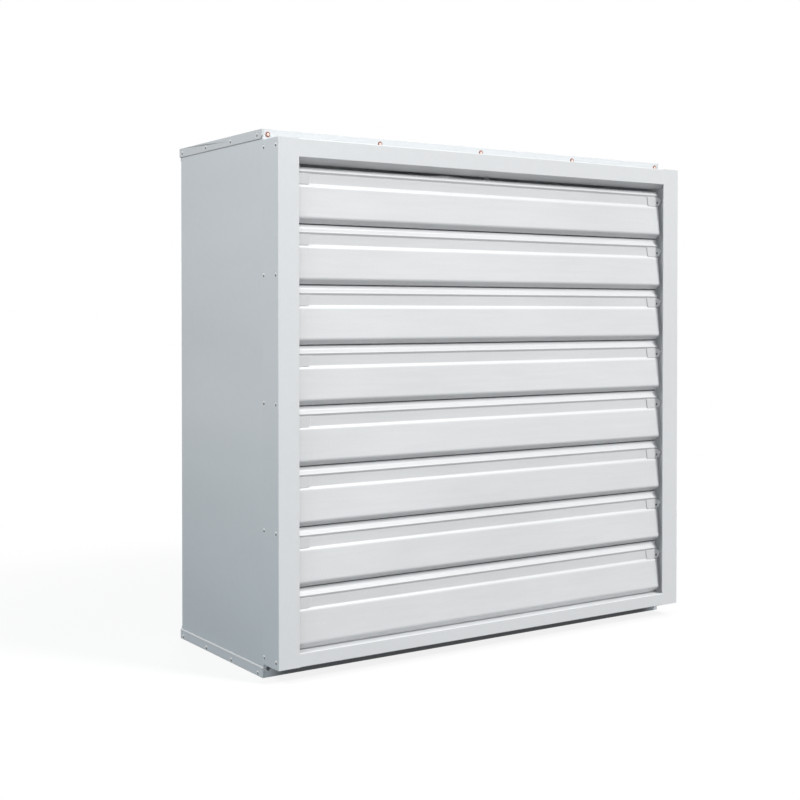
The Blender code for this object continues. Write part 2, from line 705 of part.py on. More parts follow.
def clip_mesh():
    """A strip with one round end."""
    radius = CLIP_HEIGHT / 2
    inner = -(CLIP_LENGTH - radius)
    outline = arc((0, 0), radius, -math.pi / 2, math.pi / 2, COARSE_STEPS // 2)
    outline += [(inner, radius), (inner, -radius)]
    return plate_mesh("pivot_clip", [outline], CLIP_SHEET)


def add_louvres():
    """The blades with their lugs, a clip at each end of every blade, and the tie bar behind them."""
    path = louvre_path()
    lug = plate_mesh("tie_lug", [lug_outline()], LUG_SHEET)
    clip = clip_mesh()
    clip_x = CLIP_TIP - CLIP_HEIGHT / 2
    pin_start = CLIP_TIP - PIVOT_PIN_ROOT
    pin_end = RETURN_X + PIVOT_PIN_LENGTH
    pin = cylinder_mesh("pivot_pin", PIVOT_PIN_RADIUS, pin_end - pin_start, COARSE_STEPS)
    lug_x = TIE_BAR_SHEET / 2 + SEAT_GAP + LUG_SHEET / 2
    tie_pin_ends = (-TIE_BAR_SHEET / 2 - TIE_PIN_TAIL, lug_x)
    flat = Matrix.Rotation(math.pi / 2, 4, "X")
    for index in range(LOUVRE_COUNT):
        number = index + 1
        pivot = Vector((0, PIVOT_Y, FIRST_PIVOT_Z - LOUVRE_PITCH * index))
        axle = add_empty(f"louvre_{number}_axle", pivot)
        at_pivot = [(pivot.y + a, pivot.z + b) for a, b in path]
        run = (-LOUVRE_HALF, LOUVRE_HALF)
        name = f"louvre_{number}"
        blade = add_folded_sheet(name, at_pivot, run, "X", LOUVRE_SHEET, -1, "louvre_sheet", pivot, axle)
        arm = add_object(f"louvre_{number}_lug", lug, pivot + Vector((lug_x, 0, 0)), FACING_X)
        tie = pivot + Vector((0, TIE_Y - PIVOT_Y, TIE_LIFT))
        ends = [tie + Vector((x, 0, 0)) for x in tie_pin_ends]
        join(blade, arm, add_cylinder(f"louvre_{number}_tie_pin", TIE_PIN_RADIUS, *ends, COARSE_STEPS))
        for end_name, side in (("left", -1), ("right", 1)):
            name = f"louvre_{number}_{end_name}_clip"
            turn = flat if side > 0 else Matrix.Rotation(math.pi, 4, "Y") @ flat
            strip = add_object(name, clip.copy(), pivot + Vector((side * clip_x, 0, 0)), turn, "zinc_steel", axle)
            pin_middle = pivot + Vector((side * (pin_start + pin_end) / 2, 0, 0))
            join(strip, add_object(name + "_pin", pin, pin_middle, ALONG_X))


def add_tie_bar():
    """A flat bar with a hole over each louvre's tie pin."""
    top = FIRST_PIVOT_Z + TIE_LIFT
    bottom = top - LOUVRE_PITCH * (LOUVRE_COUNT - 1)
    half = TIE_BAR_SHEET / 2
    axle = add_empty("tie_bar_axle", (0, TIE_Y, top))
    low = (-half, TIE_Y - TIE_BAR_WIDTH / 2, bottom - TIE_BAR_END)
    high = (half, TIE_Y + TIE_BAR_WIDTH / 2, top + TIE_BAR_END)
    bar = add_block("tie_bar", low, high, "zinc_steel", axle)
    for index in range(LOUVRE_COUNT):
        z = top - LOUVRE_PITCH * index
        ends = ((-half - OVERRUN, TIE_Y, z), (half + OVERRUN, TIE_Y, z))
        cut(bar, add_cylinder(f"tie_bar_hole_{index}", TIE_PIN_RADIUS + PIVOT_GAP, *ends, COARSE_STEPS))


# Impeller

# Along the blade from root to tip: radius, chord and lift as shares, and pitch in degrees
BLADE_SECTION_SHARES = (
    (0.00, 0.130, 0.00, 0.0),
    (0.10, 0.190, 0.00, 0.0),
    (0.22, 0.330, 0.40, 24.0),
    (0.36, 0.400, 0.80, 34.0),
    (0.55, 0.440, 1.00, 31.0),
    (0.78, 0.460, 1.00, 26.0),
    (1.00, 0.440, 1.00, 22.0),
)
CHORD_STEPS = 6


def blade_mesh():
    """A pressed blade: a flat root that bolts to the hub, then a twisted and cambered vane."""
    mesh = bpy.data.meshes.new("blade")
    shape = bmesh.new()
    rows = []
    span = IMPELLER_RADIUS - BLADE_ROOT_RADIUS
    for radius_share, chord_share, camber_share, pitch in BLADE_SECTION_SHARES:
        radius = BLADE_ROOT_RADIUS + span * radius_share
        chord = IMPELLER_RADIUS * chord_share
        turn = math.radians(pitch)
        row = []
        for step in range(CHORD_STEPS + 1):
            along = step / CHORD_STEPS - 1 / 2
            across = chord * along
            bow = BLADE_CAMBER * camber_share * (1 - 4 * along * along)
            side = across * math.cos(turn) + bow * math.sin(turn)
            depth = across * math.sin(turn) - bow * math.cos(turn)
            reach = math.sqrt(max(radius * radius - side * side, 0)) if radius_share else radius
            row.append(shape.verts.new((side, depth, reach)))
        rows.append(row)
    for lower, upper in zip(rows, rows[1:]):
        for a, b, c, d in zip(lower, lower[1:], upper[1:], upper):
            shape.faces.new((a, b, c, d))
    shape.to_mesh(mesh)
    shape.free()
    return mesh


def add_impeller():
    """Shaft, hub, blades and the large pulley, which turn together."""
    axle = add_empty("impeller_axle", (0, BLADE_Y, SHAFT_Z))
    mesh = blade_mesh()
    for index in range(BLADE_COUNT):
        turn = Matrix.Rotation(2 * math.pi * index / BLADE_COUNT, 4, "Y")
        blade = add_object(f"blade_{index + 1}", mesh, (0, BLADE_Y, SHAFT_Z), turn, "turned_steel", axle)
        thicken(blade, BLADE_SHEET, 0)
    bore = SHAFT_RADIUS + SEAT_GAP
    plate_end = HUB_PLATE
    boss_end = HUB_PLATE + HUB_BOSS_LENGTH
    hub = [
        (bore, boss_end),
        (HUB_BOSS_RADIUS, boss_end),
        (HUB_BOSS_RADIUS, plate_end),
        (HUB_RADIUS, plate_end),
        (HUB_RADIUS, 0),
        (bore, 0),
    ]
    add_turned("impeller_hub", hub, (0, HUB_FRONT_Y, SHAFT_Z), MEDIUM_STEPS, "cast_grey", axle)
    clamp = [(bore, 0), (CLAMP_RADIUS, 0), (CLAMP_RADIUS, -CLAMP_PLATE), (bore, -CLAMP_PLATE)]
    add_turned("blade_clamp_plate", clamp, (0, CLAMP_BACK_Y, SHAFT_Z), MEDIUM_STEPS, "zinc_steel", axle)
    head_back = CLAMP_BACK_Y - CLAMP_PLATE - SEAT_GAP - HUB_FRONT_Y
    head_front = head_back - SHAFT_HEAD_LENGTH
    tail = BEARING_BACK_Y + SHAFT_TAIL - HUB_FRONT_Y
    shaft = [
        (0, tail),
        (SHAFT_RADIUS, tail),
        (SHAFT_RADIUS, head_back),
        (SHAFT_HEAD_RADIUS, head_back),
        (SHAFT_HEAD_RADIUS, head_front),
        (0, head_front),
    ]
    add_turned("fan_shaft", shaft, (0, HUB_FRONT_Y, SHAFT_Z), MEDIUM_STEPS, "turned_steel", axle)
    pulley = add_pulley("driven_pulley", DRIVEN_PULLEY_RADIUS, bore, SHAFT_Z, FINE_STEPS, "cast_grey", axle)
    ring = (PULLEY_BOSS_RADIUS + DRIVEN_PULLEY_RADIUS - GROOVE_DEPTH - PULLEY_RIM / 2) / 2
    for index in range(LIGHTENING_HOLE_COUNT):
        angle = 2 * math.pi * index / LIGHTENING_HOLE_COUNT
        x, z = ring * math.sin(angle), SHAFT_Z + ring * math.cos(angle)
        ends = ((x, PULLEY_Y - PULLEY_WIDTH, z), (x, PULLEY_Y + PULLEY_WIDTH, z))
        cut(pulley, add_cylinder(f"lightening_hole_{index}", LIGHTENING_HOLE_RADIUS, *ends, COARSE_STEPS))


def add_pulley(name, radius, bore, z, steps, finish, parent):
    """A V-belt pulley with a rim, a thin web and a boss; a small one is solid."""
    half = PULLEY_WIDTH / 2
    mouth = GROOVE_MOUTH / 2
    floor = GROOVE_FLOOR / 2
    web = PULLEY_WEB / 2
    bottom = radius - GROOVE_DEPTH
    groove = [(radius, half), (radius, mouth), (bottom, floor), (bottom, -floor), (radius, -mouth), (radius, -half)]
    inner = radius - PULLEY_RIM - GROOVE_DEPTH / 2
    if inner > PULLEY_BOSS_RADIUS:
        front = [(inner, -half), (inner, -web), (PULLEY_BOSS_RADIUS, -web), (PULLEY_BOSS_RADIUS, -half)]
        back = [(PULLEY_BOSS_RADIUS, half), (PULLEY_BOSS_RADIUS, web), (inner, web), (inner, half)]
    else:
        front, back = [], []
    profile = groove + front + [(bore, -half), (bore, half)] + back
    return add_turned(name, profile, (0, PULLEY_Y, z), steps, finish, parent)


def belt_outline(offset):
    """The belt's loop round both pulleys, at a distance from the groove floors; (x, z) points."""
    large = DRIVEN_PULLEY_RADIUS - GROOVE_DEPTH + BELT_GAP + offset
    small = DRIVE_PULLEY_RADIUS - GROOVE_DEPTH + BELT_GAP + offset
    lean = math.asin((large - small) / SHAFT_DISTANCE)
    upper = arc((0, SHAFT_Z), large, -lean, math.pi + lean, FINE_STEPS // 2)
    lower = arc((0, MOTOR_Z), small, math.pi + lean, 2 * math.pi - lean, MEDIUM_STEPS // 2)
    return upper + lower


def add_belt():
    mesh = plate_mesh("drive_belt", [belt_outline(BELT_THICKNESS), belt_outline(0)[::-1]], BELT_WIDTH)
    add_object("drive_belt", mesh, (0, PULLEY_Y, 0), Matrix.Rotation(math.pi / 2, 4, "X"), "black_rubber")


# Beams and bearings


def add_beam(name, side):
    """An upright channel behind the orifice plate."""
    inside = side * BEAM_SPACING / 2
    outside = side * (BEAM_SPACING / 2 + BEAM_FLANGE)
    path = rounded_path([
        (outside, BEAM_FRONT_Y, 0),
        (inside, BEAM_FRONT_Y, BEAM_FOLD_RADIUS),
        (inside, BEAM_BACK_Y, BEAM_FOLD_RADIUS),
        (outside, BEAM_BACK_Y, 0),
    ])
    run = (PANEL_SHEET + SEAT_GAP, BOX_HEIGHT - PANEL_SHEET - SEAT_GAP)
    add_folded_sheet(name, path, run, "Z", BEAM_SHEET, side, "zinc_steel")


def add_bearing_set():
    """The bridge across the beams, the bearing housing on it and the two bearings in its bore."""
    half = BEAM_SPACING / 2 + BEAM_FLANGE
    low_z = SHAFT_Z - BRIDGE_HEIGHT / 2
    high_z = SHAFT_Z + BRIDGE_HEIGHT / 2
    lip = BRIDGE_FRONT_Y + BRIDGE_LIP
    path = rounded_path([
        (lip, low_z, 0),
        (BRIDGE_FRONT_Y, low_z, BRIDGE_SHEET + SEAT_GAP),
        (BRIDGE_FRONT_Y, high_z, BRIDGE_SHEET + SEAT_GAP),
        (lip, high_z, 0),
    ])
    bridge = add_folded_sheet("bearing_bridge", path, (-half, half), "X", BRIDGE_SHEET, 1, "zinc_steel")
    ends = ((0, BRIDGE_FRONT_Y - OVERRUN, SHAFT_Z), (0, BRIDGE_FRONT_Y + OVERRUN, SHAFT_Z))
    cut(bridge, add_cylinder("bridge_hole", BEARING_TUBE_RADIUS + SEAT_GAP, *ends, MEDIUM_STEPS))
    housing = [
        (BEARING_BORE_RADIUS, BEARING_TUBE_REAR),
        (BEARING_TUBE_RADIUS, BEARING_TUBE_REAR),
        (BEARING_TUBE_RADIUS, BEARING_FLANGE),
        (BEARING_FLANGE_RADIUS, BEARING_FLANGE),
        (BEARING_FLANGE_RADIUS, 0),
        (BEARING_TUBE_RADIUS, 0),
        (BEARING_TUBE_RADIUS, -BEARING_TUBE_FRONT),
        (BEARING_BORE_RADIUS, -BEARING_TUBE_FRONT),
    ]
    add_turned("bearing_housing", housing, (0, BEARING_FLANGE_Y, SHAFT_Z), MEDIUM_STEPS, "cast_grey")
    inner = SHAFT_RADIUS + PIVOT_GAP
    outer = BEARING_BORE_RADIUS - SEAT_GAP
    ring = [(inner, BEARING_WIDTH), (outer, BEARING_WIDTH), (outer, 0), (inner, 0)]
    front = BEARING_FRONT_Y + BEARING_INSET
    rear = BEARING_BACK_Y - BEARING_INSET - BEARING_WIDTH
    add_turned("front_bearing", ring, (0, front, SHAFT_Z), MEDIUM_STEPS, "turned_steel")
    add_turned("rear_bearing", ring, (0, rear, SHAFT_Z), MEDIUM_STEPS, "turned_steel")


# Motor


def fin_outline():
    """The stator's cross-section: a round core with square fins all round it."""
    outline = []
    pitch = 2 * math.pi / MOTOR_FIN_COUNT
    half = pitch * MOTOR_FIN_SHARE / 2
    for index in range(MOTOR_FIN_COUNT):
        middle = pitch * index
        for angle, radius in (
            (middle - half, MOTOR_CORE_RADIUS),
            (middle - half, MOTOR_FIN_RADIUS),
            (middle + half, MOTOR_FIN_RADIUS),
            (middle + half, MOTOR_CORE_RADIUS),
        ):
            outline.append((radius * math.cos(angle), radius * math.sin(angle)))
    return outline


def add_motor():
    """The plate between the beams, and the motor on it: finned body, cowl, terminal box, shaft and pulley."""
    half = BEAM_SPACING / 2 - SEAT_GAP
    top = MOTOR_PLATE_TOP
    flange_top = top - MOTOR_PLATE_SHEET + MOTOR_PLATE_FLANGE
    floor = top - MOTOR_PLATE_SHEET
    path = rounded_path([
        (-half, flange_top, 0),
        (-half, floor, MOTOR_PLATE_SHEET + SEAT_GAP),
        (half, floor, MOTOR_PLATE_SHEET + SEAT_GAP),
        (half, flange_top, 0),
    ])
    run = (BEAM_FRONT_Y, BEAM_FRONT_Y + MOTOR_PLATE_DEPTH)
    add_folded_sheet("motor_mount_plate", path, run, "Y", MOTOR_PLATE_SHEET, 1, "zinc_steel")

    middle_y = (MOTOR_SHIELD_Y + MOTOR_BACK_Y) / 2
    upright = Matrix.Rotation(math.pi / 2, 4, "X")
    fins = plate_mesh("motor_fins", [fin_outline()], MOTOR_BODY_LENGTH)
    body = add_object("motor_body", fins, (0, middle_y, MOTOR_Z), upright, "motor_blue")
    nose = [
        (0, SEAT_GAP),
        (MOTOR_SHIELD_RADIUS, SEAT_GAP),
        (MOTOR_SHIELD_RADIUS, -MOTOR_SHIELD_LENGTH / 2),
        (MOTOR_NOSE_RADIUS, -MOTOR_SHIELD_LENGTH),
        (MOTOR_NOSE_RADIUS, -MOTOR_SHIELD_LENGTH - MOTOR_NOSE_LENGTH),
        (0, -MOTOR_SHIELD_LENGTH - MOTOR_NOSE_LENGTH),
    ]
    join(body, add_turned("motor_shield", nose, (0, MOTOR_SHIELD_Y, MOTOR_Z), MEDIUM_STEPS))
    sole = MOTOR_PLATE_TOP + SEAT_GAP
    inner_x = MOTOR_FOOT_SPREAD - MOTOR_FOOT_WIDTH
    middle_x = MOTOR_FOOT_SPREAD - MOTOR_FOOT_WIDTH / 2
    leg_top = MOTOR_Z - MOTOR_CORE_RADIUS / 2
    foot = [
        (inner_x, sole),
        (MOTOR_FOOT_SPREAD, sole),
        (MOTOR_FOOT_SPREAD, sole + MOTOR_FOOT_SOLE),
        (middle_x, sole + MOTOR_FOOT_SOLE),
        (middle_x, leg_top),
        (inner_x, leg_top),
    ]
    for side in (-1, 1):
        outline = [(side * x, z) for x, z in foot]
        footing = plate_mesh(f"motor_foot_{side}", [outline], MOTOR_FOOT_LENGTH)
        join(body, add_object(f"motor_foot_{side}", footing, (0, middle_y, 0), upright))
    bore_back = BEAM_FRONT_Y + MOTOR_SHAFT_SEAT
    bore_ends = ((0, BEAM_FRONT_Y - OVERRUN, MOTOR_Z), (0, bore_back + MOTOR_BORE_EXTRA, MOTOR_Z))
    cut(body, add_cylinder("motor_bore", MOTOR_SHAFT_RADIUS + PIVOT_GAP, *bore_ends, MEDIUM_STEPS))

    edge = MOTOR_COWL_RADIUS
    cowl = [(0, MOTOR_COWL_LENGTH), (edge - MOTOR_COWL_ROUND, MOTOR_COWL_LENGTH)]
    cowl += [(edge, MOTOR_COWL_LENGTH - MOTOR_COWL_ROUND), (edge, 0), (0, 0)]
    add_turned("motor_fan_cowl", cowl, (0, MOTOR_BACK_Y + SEAT_GAP, MOTOR_Z), MEDIUM_STEPS, "motor_blue")
    add_terminal_box(middle_y)

    axle = add_empty("motor_axle", (0, PULLEY_Y, MOTOR_Z))
    shaft_ends = ((0, PULLEY_Y - PULLEY_WIDTH / 2, MOTOR_Z), (0, bore_back, MOTOR_Z))
    add_cylinder("motor_shaft", MOTOR_SHAFT_RADIUS, *shaft_ends, MEDIUM_STEPS, "turned_steel", axle)
    bore = MOTOR_SHAFT_RADIUS + SEAT_GAP
    add_pulley("drive_pulley", DRIVE_PULLEY_RADIUS, bore, MOTOR_Z, MEDIUM_STEPS, "cast_grey", axle)


def add_terminal_box(middle_y):
    """The box on top of the motor, with a hollow cable gland on its side."""
    low_z = MOTOR_Z + MOTOR_FIN_RADIUS + SEAT_GAP
    low = (-TERMINAL_BOX_WIDTH / 2, middle_y - TERMINAL_BOX_LENGTH / 2, low_z)
    high = (TERMINAL_BOX_WIDTH / 2, middle_y + TERMINAL_BOX_LENGTH / 2, low_z + TERMINAL_BOX_HEIGHT)
    box = add_block("terminal_box", low, high, "motor_blue")
    rounding = box.modifiers.new("rounding", "BEVEL")
    rounding.width = TERMINAL_BOX_ROUND
    rounding.segments = 2
    face = TERMINAL_BOX_WIDTH / 2
    z = low_z + TERMINAL_BOX_HEIGHT / 2
    nut_end = face + SEAT_GAP + GLAND_NUT_LENGTH
    gland = [
        (GLAND_BORE_RADIUS, GLAND_LENGTH),
        (GLAND_RADIUS, GLAND_LENGTH),
        (GLAND_RADIUS, nut_end - face),
        (GLAND_NUT_RADIUS, nut_end - face),
        (GLAND_NUT_RADIUS, SEAT_GAP),
        (GLAND_BORE_RADIUS, SEAT_GAP),
    ]
    add_turned("cable_gland", gland, (face, middle_y, z), COARSE_STEPS, "black_plastic", None, ALONG_X)


# Inlet guard


def add_guard():
    """A square net of welded wires with a rim, just inside the back of the box."""
    reach = PANEL_OUTSIDE - PANEL_FOLD_RADIUS - SEAT_GAP
    half = BOX_HEIGHT / 2 - PANEL_SHEET - SEAT_GAP
    back = BACK_Y - 2 * (PANEL_SHEET + SEAT_GAP)
    lines = 2 * GUARD_CELLS + 2

    def edges(extent):
        """Both sides of every wire across an extent, the rims included."""
        inner = extent - GUARD_RIM
        step = 2 * inner / GUARD_CELLS
        places = [-extent, -inner]
        for index in range(1, GUARD_CELLS):
            middle = -inner + step * index
            places += [middle - GUARD_WIRE / 2, middle + GUARD_WIRE / 2]
        return places + [inner, extent]

    across, up = edges(reach), edges(half)
    mesh = bpy.data.meshes.new("inlet_guard")
    shape = bmesh.new()
    grid = [[shape.verts.new((x, 0, z)) for x in across] for z in up]
    for row in range(lines - 1):
        for column in range(lines - 1):
            if row % 2 and column % 2:
                continue
            corners = (grid[row][column], grid[row][column + 1], grid[row + 1][column + 1], grid[row + 1][column])
            shape.faces.new(corners)
    shape.to_mesh(mesh)
    shape.free()
    guard = add_object("inlet_guard", mesh, (0, back, SHAFT_Z), None, "zinc_steel")
    thicken(guard, GUARD_WIRE, 1)


def shade():
    """Smooth shading on round pieces, with sharp edges kept."""
    for thing in PARTS.objects:
        if thing.type == "MESH":
            thing.data.shade_smooth()
            thing.data.set_sharp_from_angle(angle=math.radians(35.0))


def main():
    add_tray("top_panel", BOX_HEIGHT, -1, TOP_HOLE_INSET)
    add_tray("bottom_panel", 0, 1, BOTTOM_HOLE_INSET)
    add_side_panel("left_side_panel", -1)
    add_side_panel("right_side_panel", 1)
    add_orifice_plate()
    add_stile("left_stile", -1)
    add_stile("right_stile", 1)
    add_rails()
    add_louvres()
    add_tie_bar()
    add_impeller()
    add_belt()
    add_beam("left_support_beam", -1)
    add_beam("right_support_beam", 1)
    add_bearing_set()
    add_motor()
    add_guard()
    shade()


main()
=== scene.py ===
"""Finishes, rolled louvres, fasteners, guard wires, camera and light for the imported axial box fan.

Metres, in the model's own frame: the shutter faces -Y, the inlet guard faces +Y, and +Z is up.
"""

import json
import logging
import math
from collections.abc import Sequence
from dataclasses import dataclass
from enum import Enum
from typing import Any

import bmesh
import bpy
from mathutils import Matrix, Vector


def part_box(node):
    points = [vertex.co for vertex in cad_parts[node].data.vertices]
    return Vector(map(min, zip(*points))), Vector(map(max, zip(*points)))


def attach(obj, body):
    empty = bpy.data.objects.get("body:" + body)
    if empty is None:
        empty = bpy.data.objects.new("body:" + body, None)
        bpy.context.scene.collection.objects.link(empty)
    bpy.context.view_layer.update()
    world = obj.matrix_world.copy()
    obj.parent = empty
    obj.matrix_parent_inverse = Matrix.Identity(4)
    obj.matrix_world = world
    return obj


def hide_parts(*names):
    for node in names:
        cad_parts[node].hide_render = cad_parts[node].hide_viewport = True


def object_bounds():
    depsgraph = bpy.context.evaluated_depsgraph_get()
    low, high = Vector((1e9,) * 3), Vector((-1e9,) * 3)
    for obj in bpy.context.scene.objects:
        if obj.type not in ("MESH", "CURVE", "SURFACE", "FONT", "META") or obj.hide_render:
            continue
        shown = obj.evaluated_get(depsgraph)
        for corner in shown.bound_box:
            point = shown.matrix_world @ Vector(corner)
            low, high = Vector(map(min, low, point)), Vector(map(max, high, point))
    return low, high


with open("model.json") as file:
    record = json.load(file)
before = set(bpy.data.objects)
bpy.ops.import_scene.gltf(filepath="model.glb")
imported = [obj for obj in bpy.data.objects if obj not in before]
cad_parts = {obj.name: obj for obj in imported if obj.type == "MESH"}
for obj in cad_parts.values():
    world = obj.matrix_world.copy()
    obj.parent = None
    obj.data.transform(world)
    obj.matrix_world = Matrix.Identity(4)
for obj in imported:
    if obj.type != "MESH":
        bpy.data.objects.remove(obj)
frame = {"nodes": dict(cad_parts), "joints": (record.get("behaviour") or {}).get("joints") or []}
CAD_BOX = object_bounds()
LOG = logging.getLogger("box_fan")

Colour = tuple[float, float, float]
Point = tuple[float, float, float]
Flat = tuple[float, float]
Feeds = dict[str | int, Any]
Tree = bpy.types.NodeTree
Thing = bpy.types.Object

ORIGIN = (0.0, 0.0, 0.0)
TO_FRONT = (0.0, -1.0, 0.0)
TO_BACK = (0.0, 1.0, 0.0)
TO_TOP = (0.0, 0.0, 1.0)
TO_LEFT = (-1.0, 0.0, 0.0)
SIDES = (-1.0, 1.0)
QUARTER = math.pi / 2
WELD = 0.00001
PIN_SEGMENTS = 20
# Painted shade: the heights over which the sheets darken towards their foot, and the side faces that keep the shaded
# side tone.
FADE_HEIGHTS = (0.05, 0.60)
SIDE_FACE_XS = (0.4984, 0.4992)
# Where the frame's painted shadow lies on the lower tray's front flange: its depth and its width.
FRAME_BACK_YS = (-0.1468, -0.1460)
FRAME_SHADOW_XS = (0.452, 0.490)


class TreeKind(Enum):
    """What a node tree is for."""

    SHADER = "ShaderNodeTree"
    GEOMETRY = "GeometryNodeTree"


class Kind(Enum):
    """The kinds of socket that the trees use."""

    FLOAT = "NodeSocketFloat"
    WHOLE = "NodeSocketInt"
    COLOUR = "NodeSocketColor"
    VECTOR = "NodeSocketVector"
    GEOMETRY = "NodeSocketGeometry"
    MATERIAL = "NodeSocketMaterial"


class Wire:
    """An output in a node tree, which plain arithmetic turns into Math nodes."""

    def __init__(self, graph: "Graph", socket: bpy.types.NodeSocket) -> None:
        """Wrap one output of the graph."""
        self.graph = graph
        self.socket = socket

    def __add__(self, other: Any) -> "Wire":
        """The sum."""
        return self.graph.math("ADD", self, other)

    def __sub__(self, other: Any) -> "Wire":
        """The difference."""
        return self.graph.math("SUBTRACT", self, other)

    def __rsub__(self, other: float) -> "Wire":
        """What is left of a plain number."""
        return self.graph.math("SUBTRACT", other, self)

    def __mul__(self, other: Any) -> "Wire":
        """The product."""
        return self.graph.math("MULTIPLY", self, other)

    def __truediv__(self, other: Any) -> "Wire":
        """The quotient."""
        return self.graph.math("DIVIDE", self, other)

    def __abs__(self) -> "Wire":
        """The size without its sign."""
        return self.graph.math("ABSOLUTE", self)

    def parts(self) -> list["Wire"]:
        """X, Y and Z of a vector."""
        return [Wire(self.graph, part) for part in self.graph.node("ShaderNodeSeparateXYZ", {0: self}).outputs]


class Graph:
    """A node tree, with short calls to add nodes, feed them and name its sockets."""

    def __init__(self, tree: Tree) -> None:
        """Work on a tree that exists."""
        self.tree = tree

    @classmethod
    def group(cls, name: str, kind: TreeKind) -> "Graph":
        """Make an empty node group, with its input and output nodes."""
        graph = cls(bpy.data.node_groups.new(name, kind.value))
        graph.entry = graph.tree.nodes.new("NodeGroupInput")
        graph.exit = graph.tree.nodes.new("NodeGroupOutput")
        return graph

    def takes(self, kind: Kind, *names: str, **preset: Any) -> list[Wire]:
        """Add named inputs of one kind to the group.

        Args:
            kind: The inputs' kind.
            *names: The inputs' names.
            **preset: Inputs that no modifier sets, with what they hold; an underscore stands for a space.

        Returns:
            The wires that the group's own nodes read.
        """
        values = {**dict.fromkeys(names), **{name.replace("_", " "): value for name, value in preset.items()}}
        for name, value in values.items():
            item = self.tree.interface.new_socket(name=name, in_out="INPUT", socket_type=kind.value)
            if value is not None:
                item.default_value = value
        return [Wire(self, self.entry.outputs[name]) for name in values]

    def gives(self, **sources: Wire) -> Tree:
        """Add named outputs, of the kind that suits each name, and return the finished tree."""
        kinds = {"Colour": Kind.COLOUR, "Geometry": Kind.GEOMETRY}
        for name, source in sources.items():
            kind = kinds.get(name, Kind.FLOAT)
            self.tree.interface.new_socket(name=name, in_out="OUTPUT", socket_type=kind.value)
            self.feed(self.exit.inputs[name], source)
        return self.tree

    def feed(self, socket: bpy.types.NodeSocket, value: Any) -> None:
        """Set an input.

        Args:
            socket: The input.
            value: A plain value, another node's output, or a list of outputs.
        """
        for item in value if isinstance(value, list) else [value]:
            source = item.socket if isinstance(item, Wire) else item
            if isinstance(source, bpy.types.NodeSocket):
                self.tree.links.new(source, socket)
            else:
                socket.default_value = source

    def node(self, kind: str, feeds: Feeds | None = None, **options: Any) -> bpy.types.Node:
        """Add a node.

        Args:
            kind: The node's type name.
            feeds: Values or outputs for its inputs, by name or number.
            **options: The node's own settings.

        Returns:
            The node.
        """
        made = self.tree.nodes.new(kind)
        for name, value in options.items():
            setattr(made, name, value)
        for key, value in (feeds or {}).items():
            self.feed(made.inputs[key], value)
        return made

    def out(self, kind: str, feeds: Feeds | None = None, output: str | int = 0, **options: Any) -> Wire:
        """Add a node as node() does, and return one of its outputs."""
        return Wire(self, self.node(kind, feeds, **options).outputs[output])

    def geo(self, kind: str, feeds: Feeds | None = None, output: str | int = 0, **options: Any) -> Wire:
        """Add a geometry node, named without its prefix, and return one of its outputs."""
        return self.out(f"GeometryNode{kind}", feeds, output, **options)

    def math(self, operation: str, *values: Any) -> Wire:
        """Add a Math node."""
        return self.out("ShaderNodeMath", dict(enumerate(values)), operation=operation)

    def vector(self, operation: str, *values: Any, output: str = "Vector") -> Wire:
        """Add a Vector Math node; the second value of a scale goes to its own input."""
        keys = (0, "Scale") if operation == "SCALE" else range(len(values))
        return self.out("ShaderNodeVectorMath", dict(zip(keys, values)), output, operation=operation)

    def combine(self, x: Any = 0.0, y: Any = 0.0, z: Any = 0.0) -> Wire:
        """Make a vector of three values."""
        return self.out("ShaderNodeCombineXYZ", {0: x, 1: y, 2: z})

    def spread(self, value: Any, low: float, high: float, to_low: float, to_high: float) -> Wire:
        """Map a range smoothly to another one.

        Args:
            value: What is mapped.
            low: Where the range starts.
            high: Where it ends.
            to_low: The result at the start.
            to_high: The result at the end.

        Returns:
            The mapped value.
        """
        feeds = {"Value": value, "From Min": low, "From Max": high, "To Min": to_low, "To Max": to_high}
        return self.out("ShaderNodeMapRange", feeds, "Result", interpolation_type="SMOOTHSTEP")

    def mix(self, share: Any, first: Any, second: Any) -> Wire:
        """Mix two colours by the second one's share."""
        return self.out("ShaderNodeMix", {0: share, 6: first, 7: second}, 2, data_type="RGBA")

    def noise(self, place: Any, scale: Any, detail: float = 2.0, rough: float = 0.5) -> Wire:
        """Add a noise pattern.

        Args:
            place: The coordinates.
            scale: Cells per metre.
            detail: How many finer layers it has.
            rough: How strong the finer layers are.

        Returns:
            The noise, about one half.
        """
        feeds = {"Vector": place, "Scale": scale, "Detail": detail, "Roughness": rough}
        return self.out("ShaderNodeTexNoise", feeds)

    def line(self, count: Any, start: Any, step: Any) -> Wire:
        """Make a row of points."""
        return self.geo("MeshLine", {"Count": count, "Start Location": start, "Offset": step}, mode="OFFSET")

    def place(self, points: Wire, instance: Wire, **feeds: Any) -> Wire:
        """Set an instance on every point."""
        return self.geo("InstanceOnPoints", {"Points": points, "Instance": instance, **feeds})

    def circle(self, sides: int, radius: Any) -> Wire:
        """Make a circle as a curve."""
        return self.geo("CurvePrimitiveCircle", {"Resolution": sides, "Radius": radius}, "Curve")

    def tube(self, curve: Wire, profile: Wire, caps: bool = False) -> Wire:
        """Draw a profile along a curve."""
        return self.geo("CurveToMesh", {"Curve": curve, "Profile Curve": profile, "Fill Caps": caps})

    def smooth(self, shape: Wire, angle: Any = None) -> Wire:
        """Shade a mesh smooth, but for edges that are sharper than the angle."""
        smooth = self.geo("SetShadeSmooth", {0: shape, 2: True}, domain="FACE")
        if angle is None:
            return smooth
        edge = self.geo("InputMeshEdgeAngle")
        corner = self.out("FunctionNodeCompare", {0: edge, 1: angle}, operation="GREATER_THAN")
        return self.geo("SetShadeSmooth", {0: smooth, 1: corner, 2: False}, domain="EDGE")

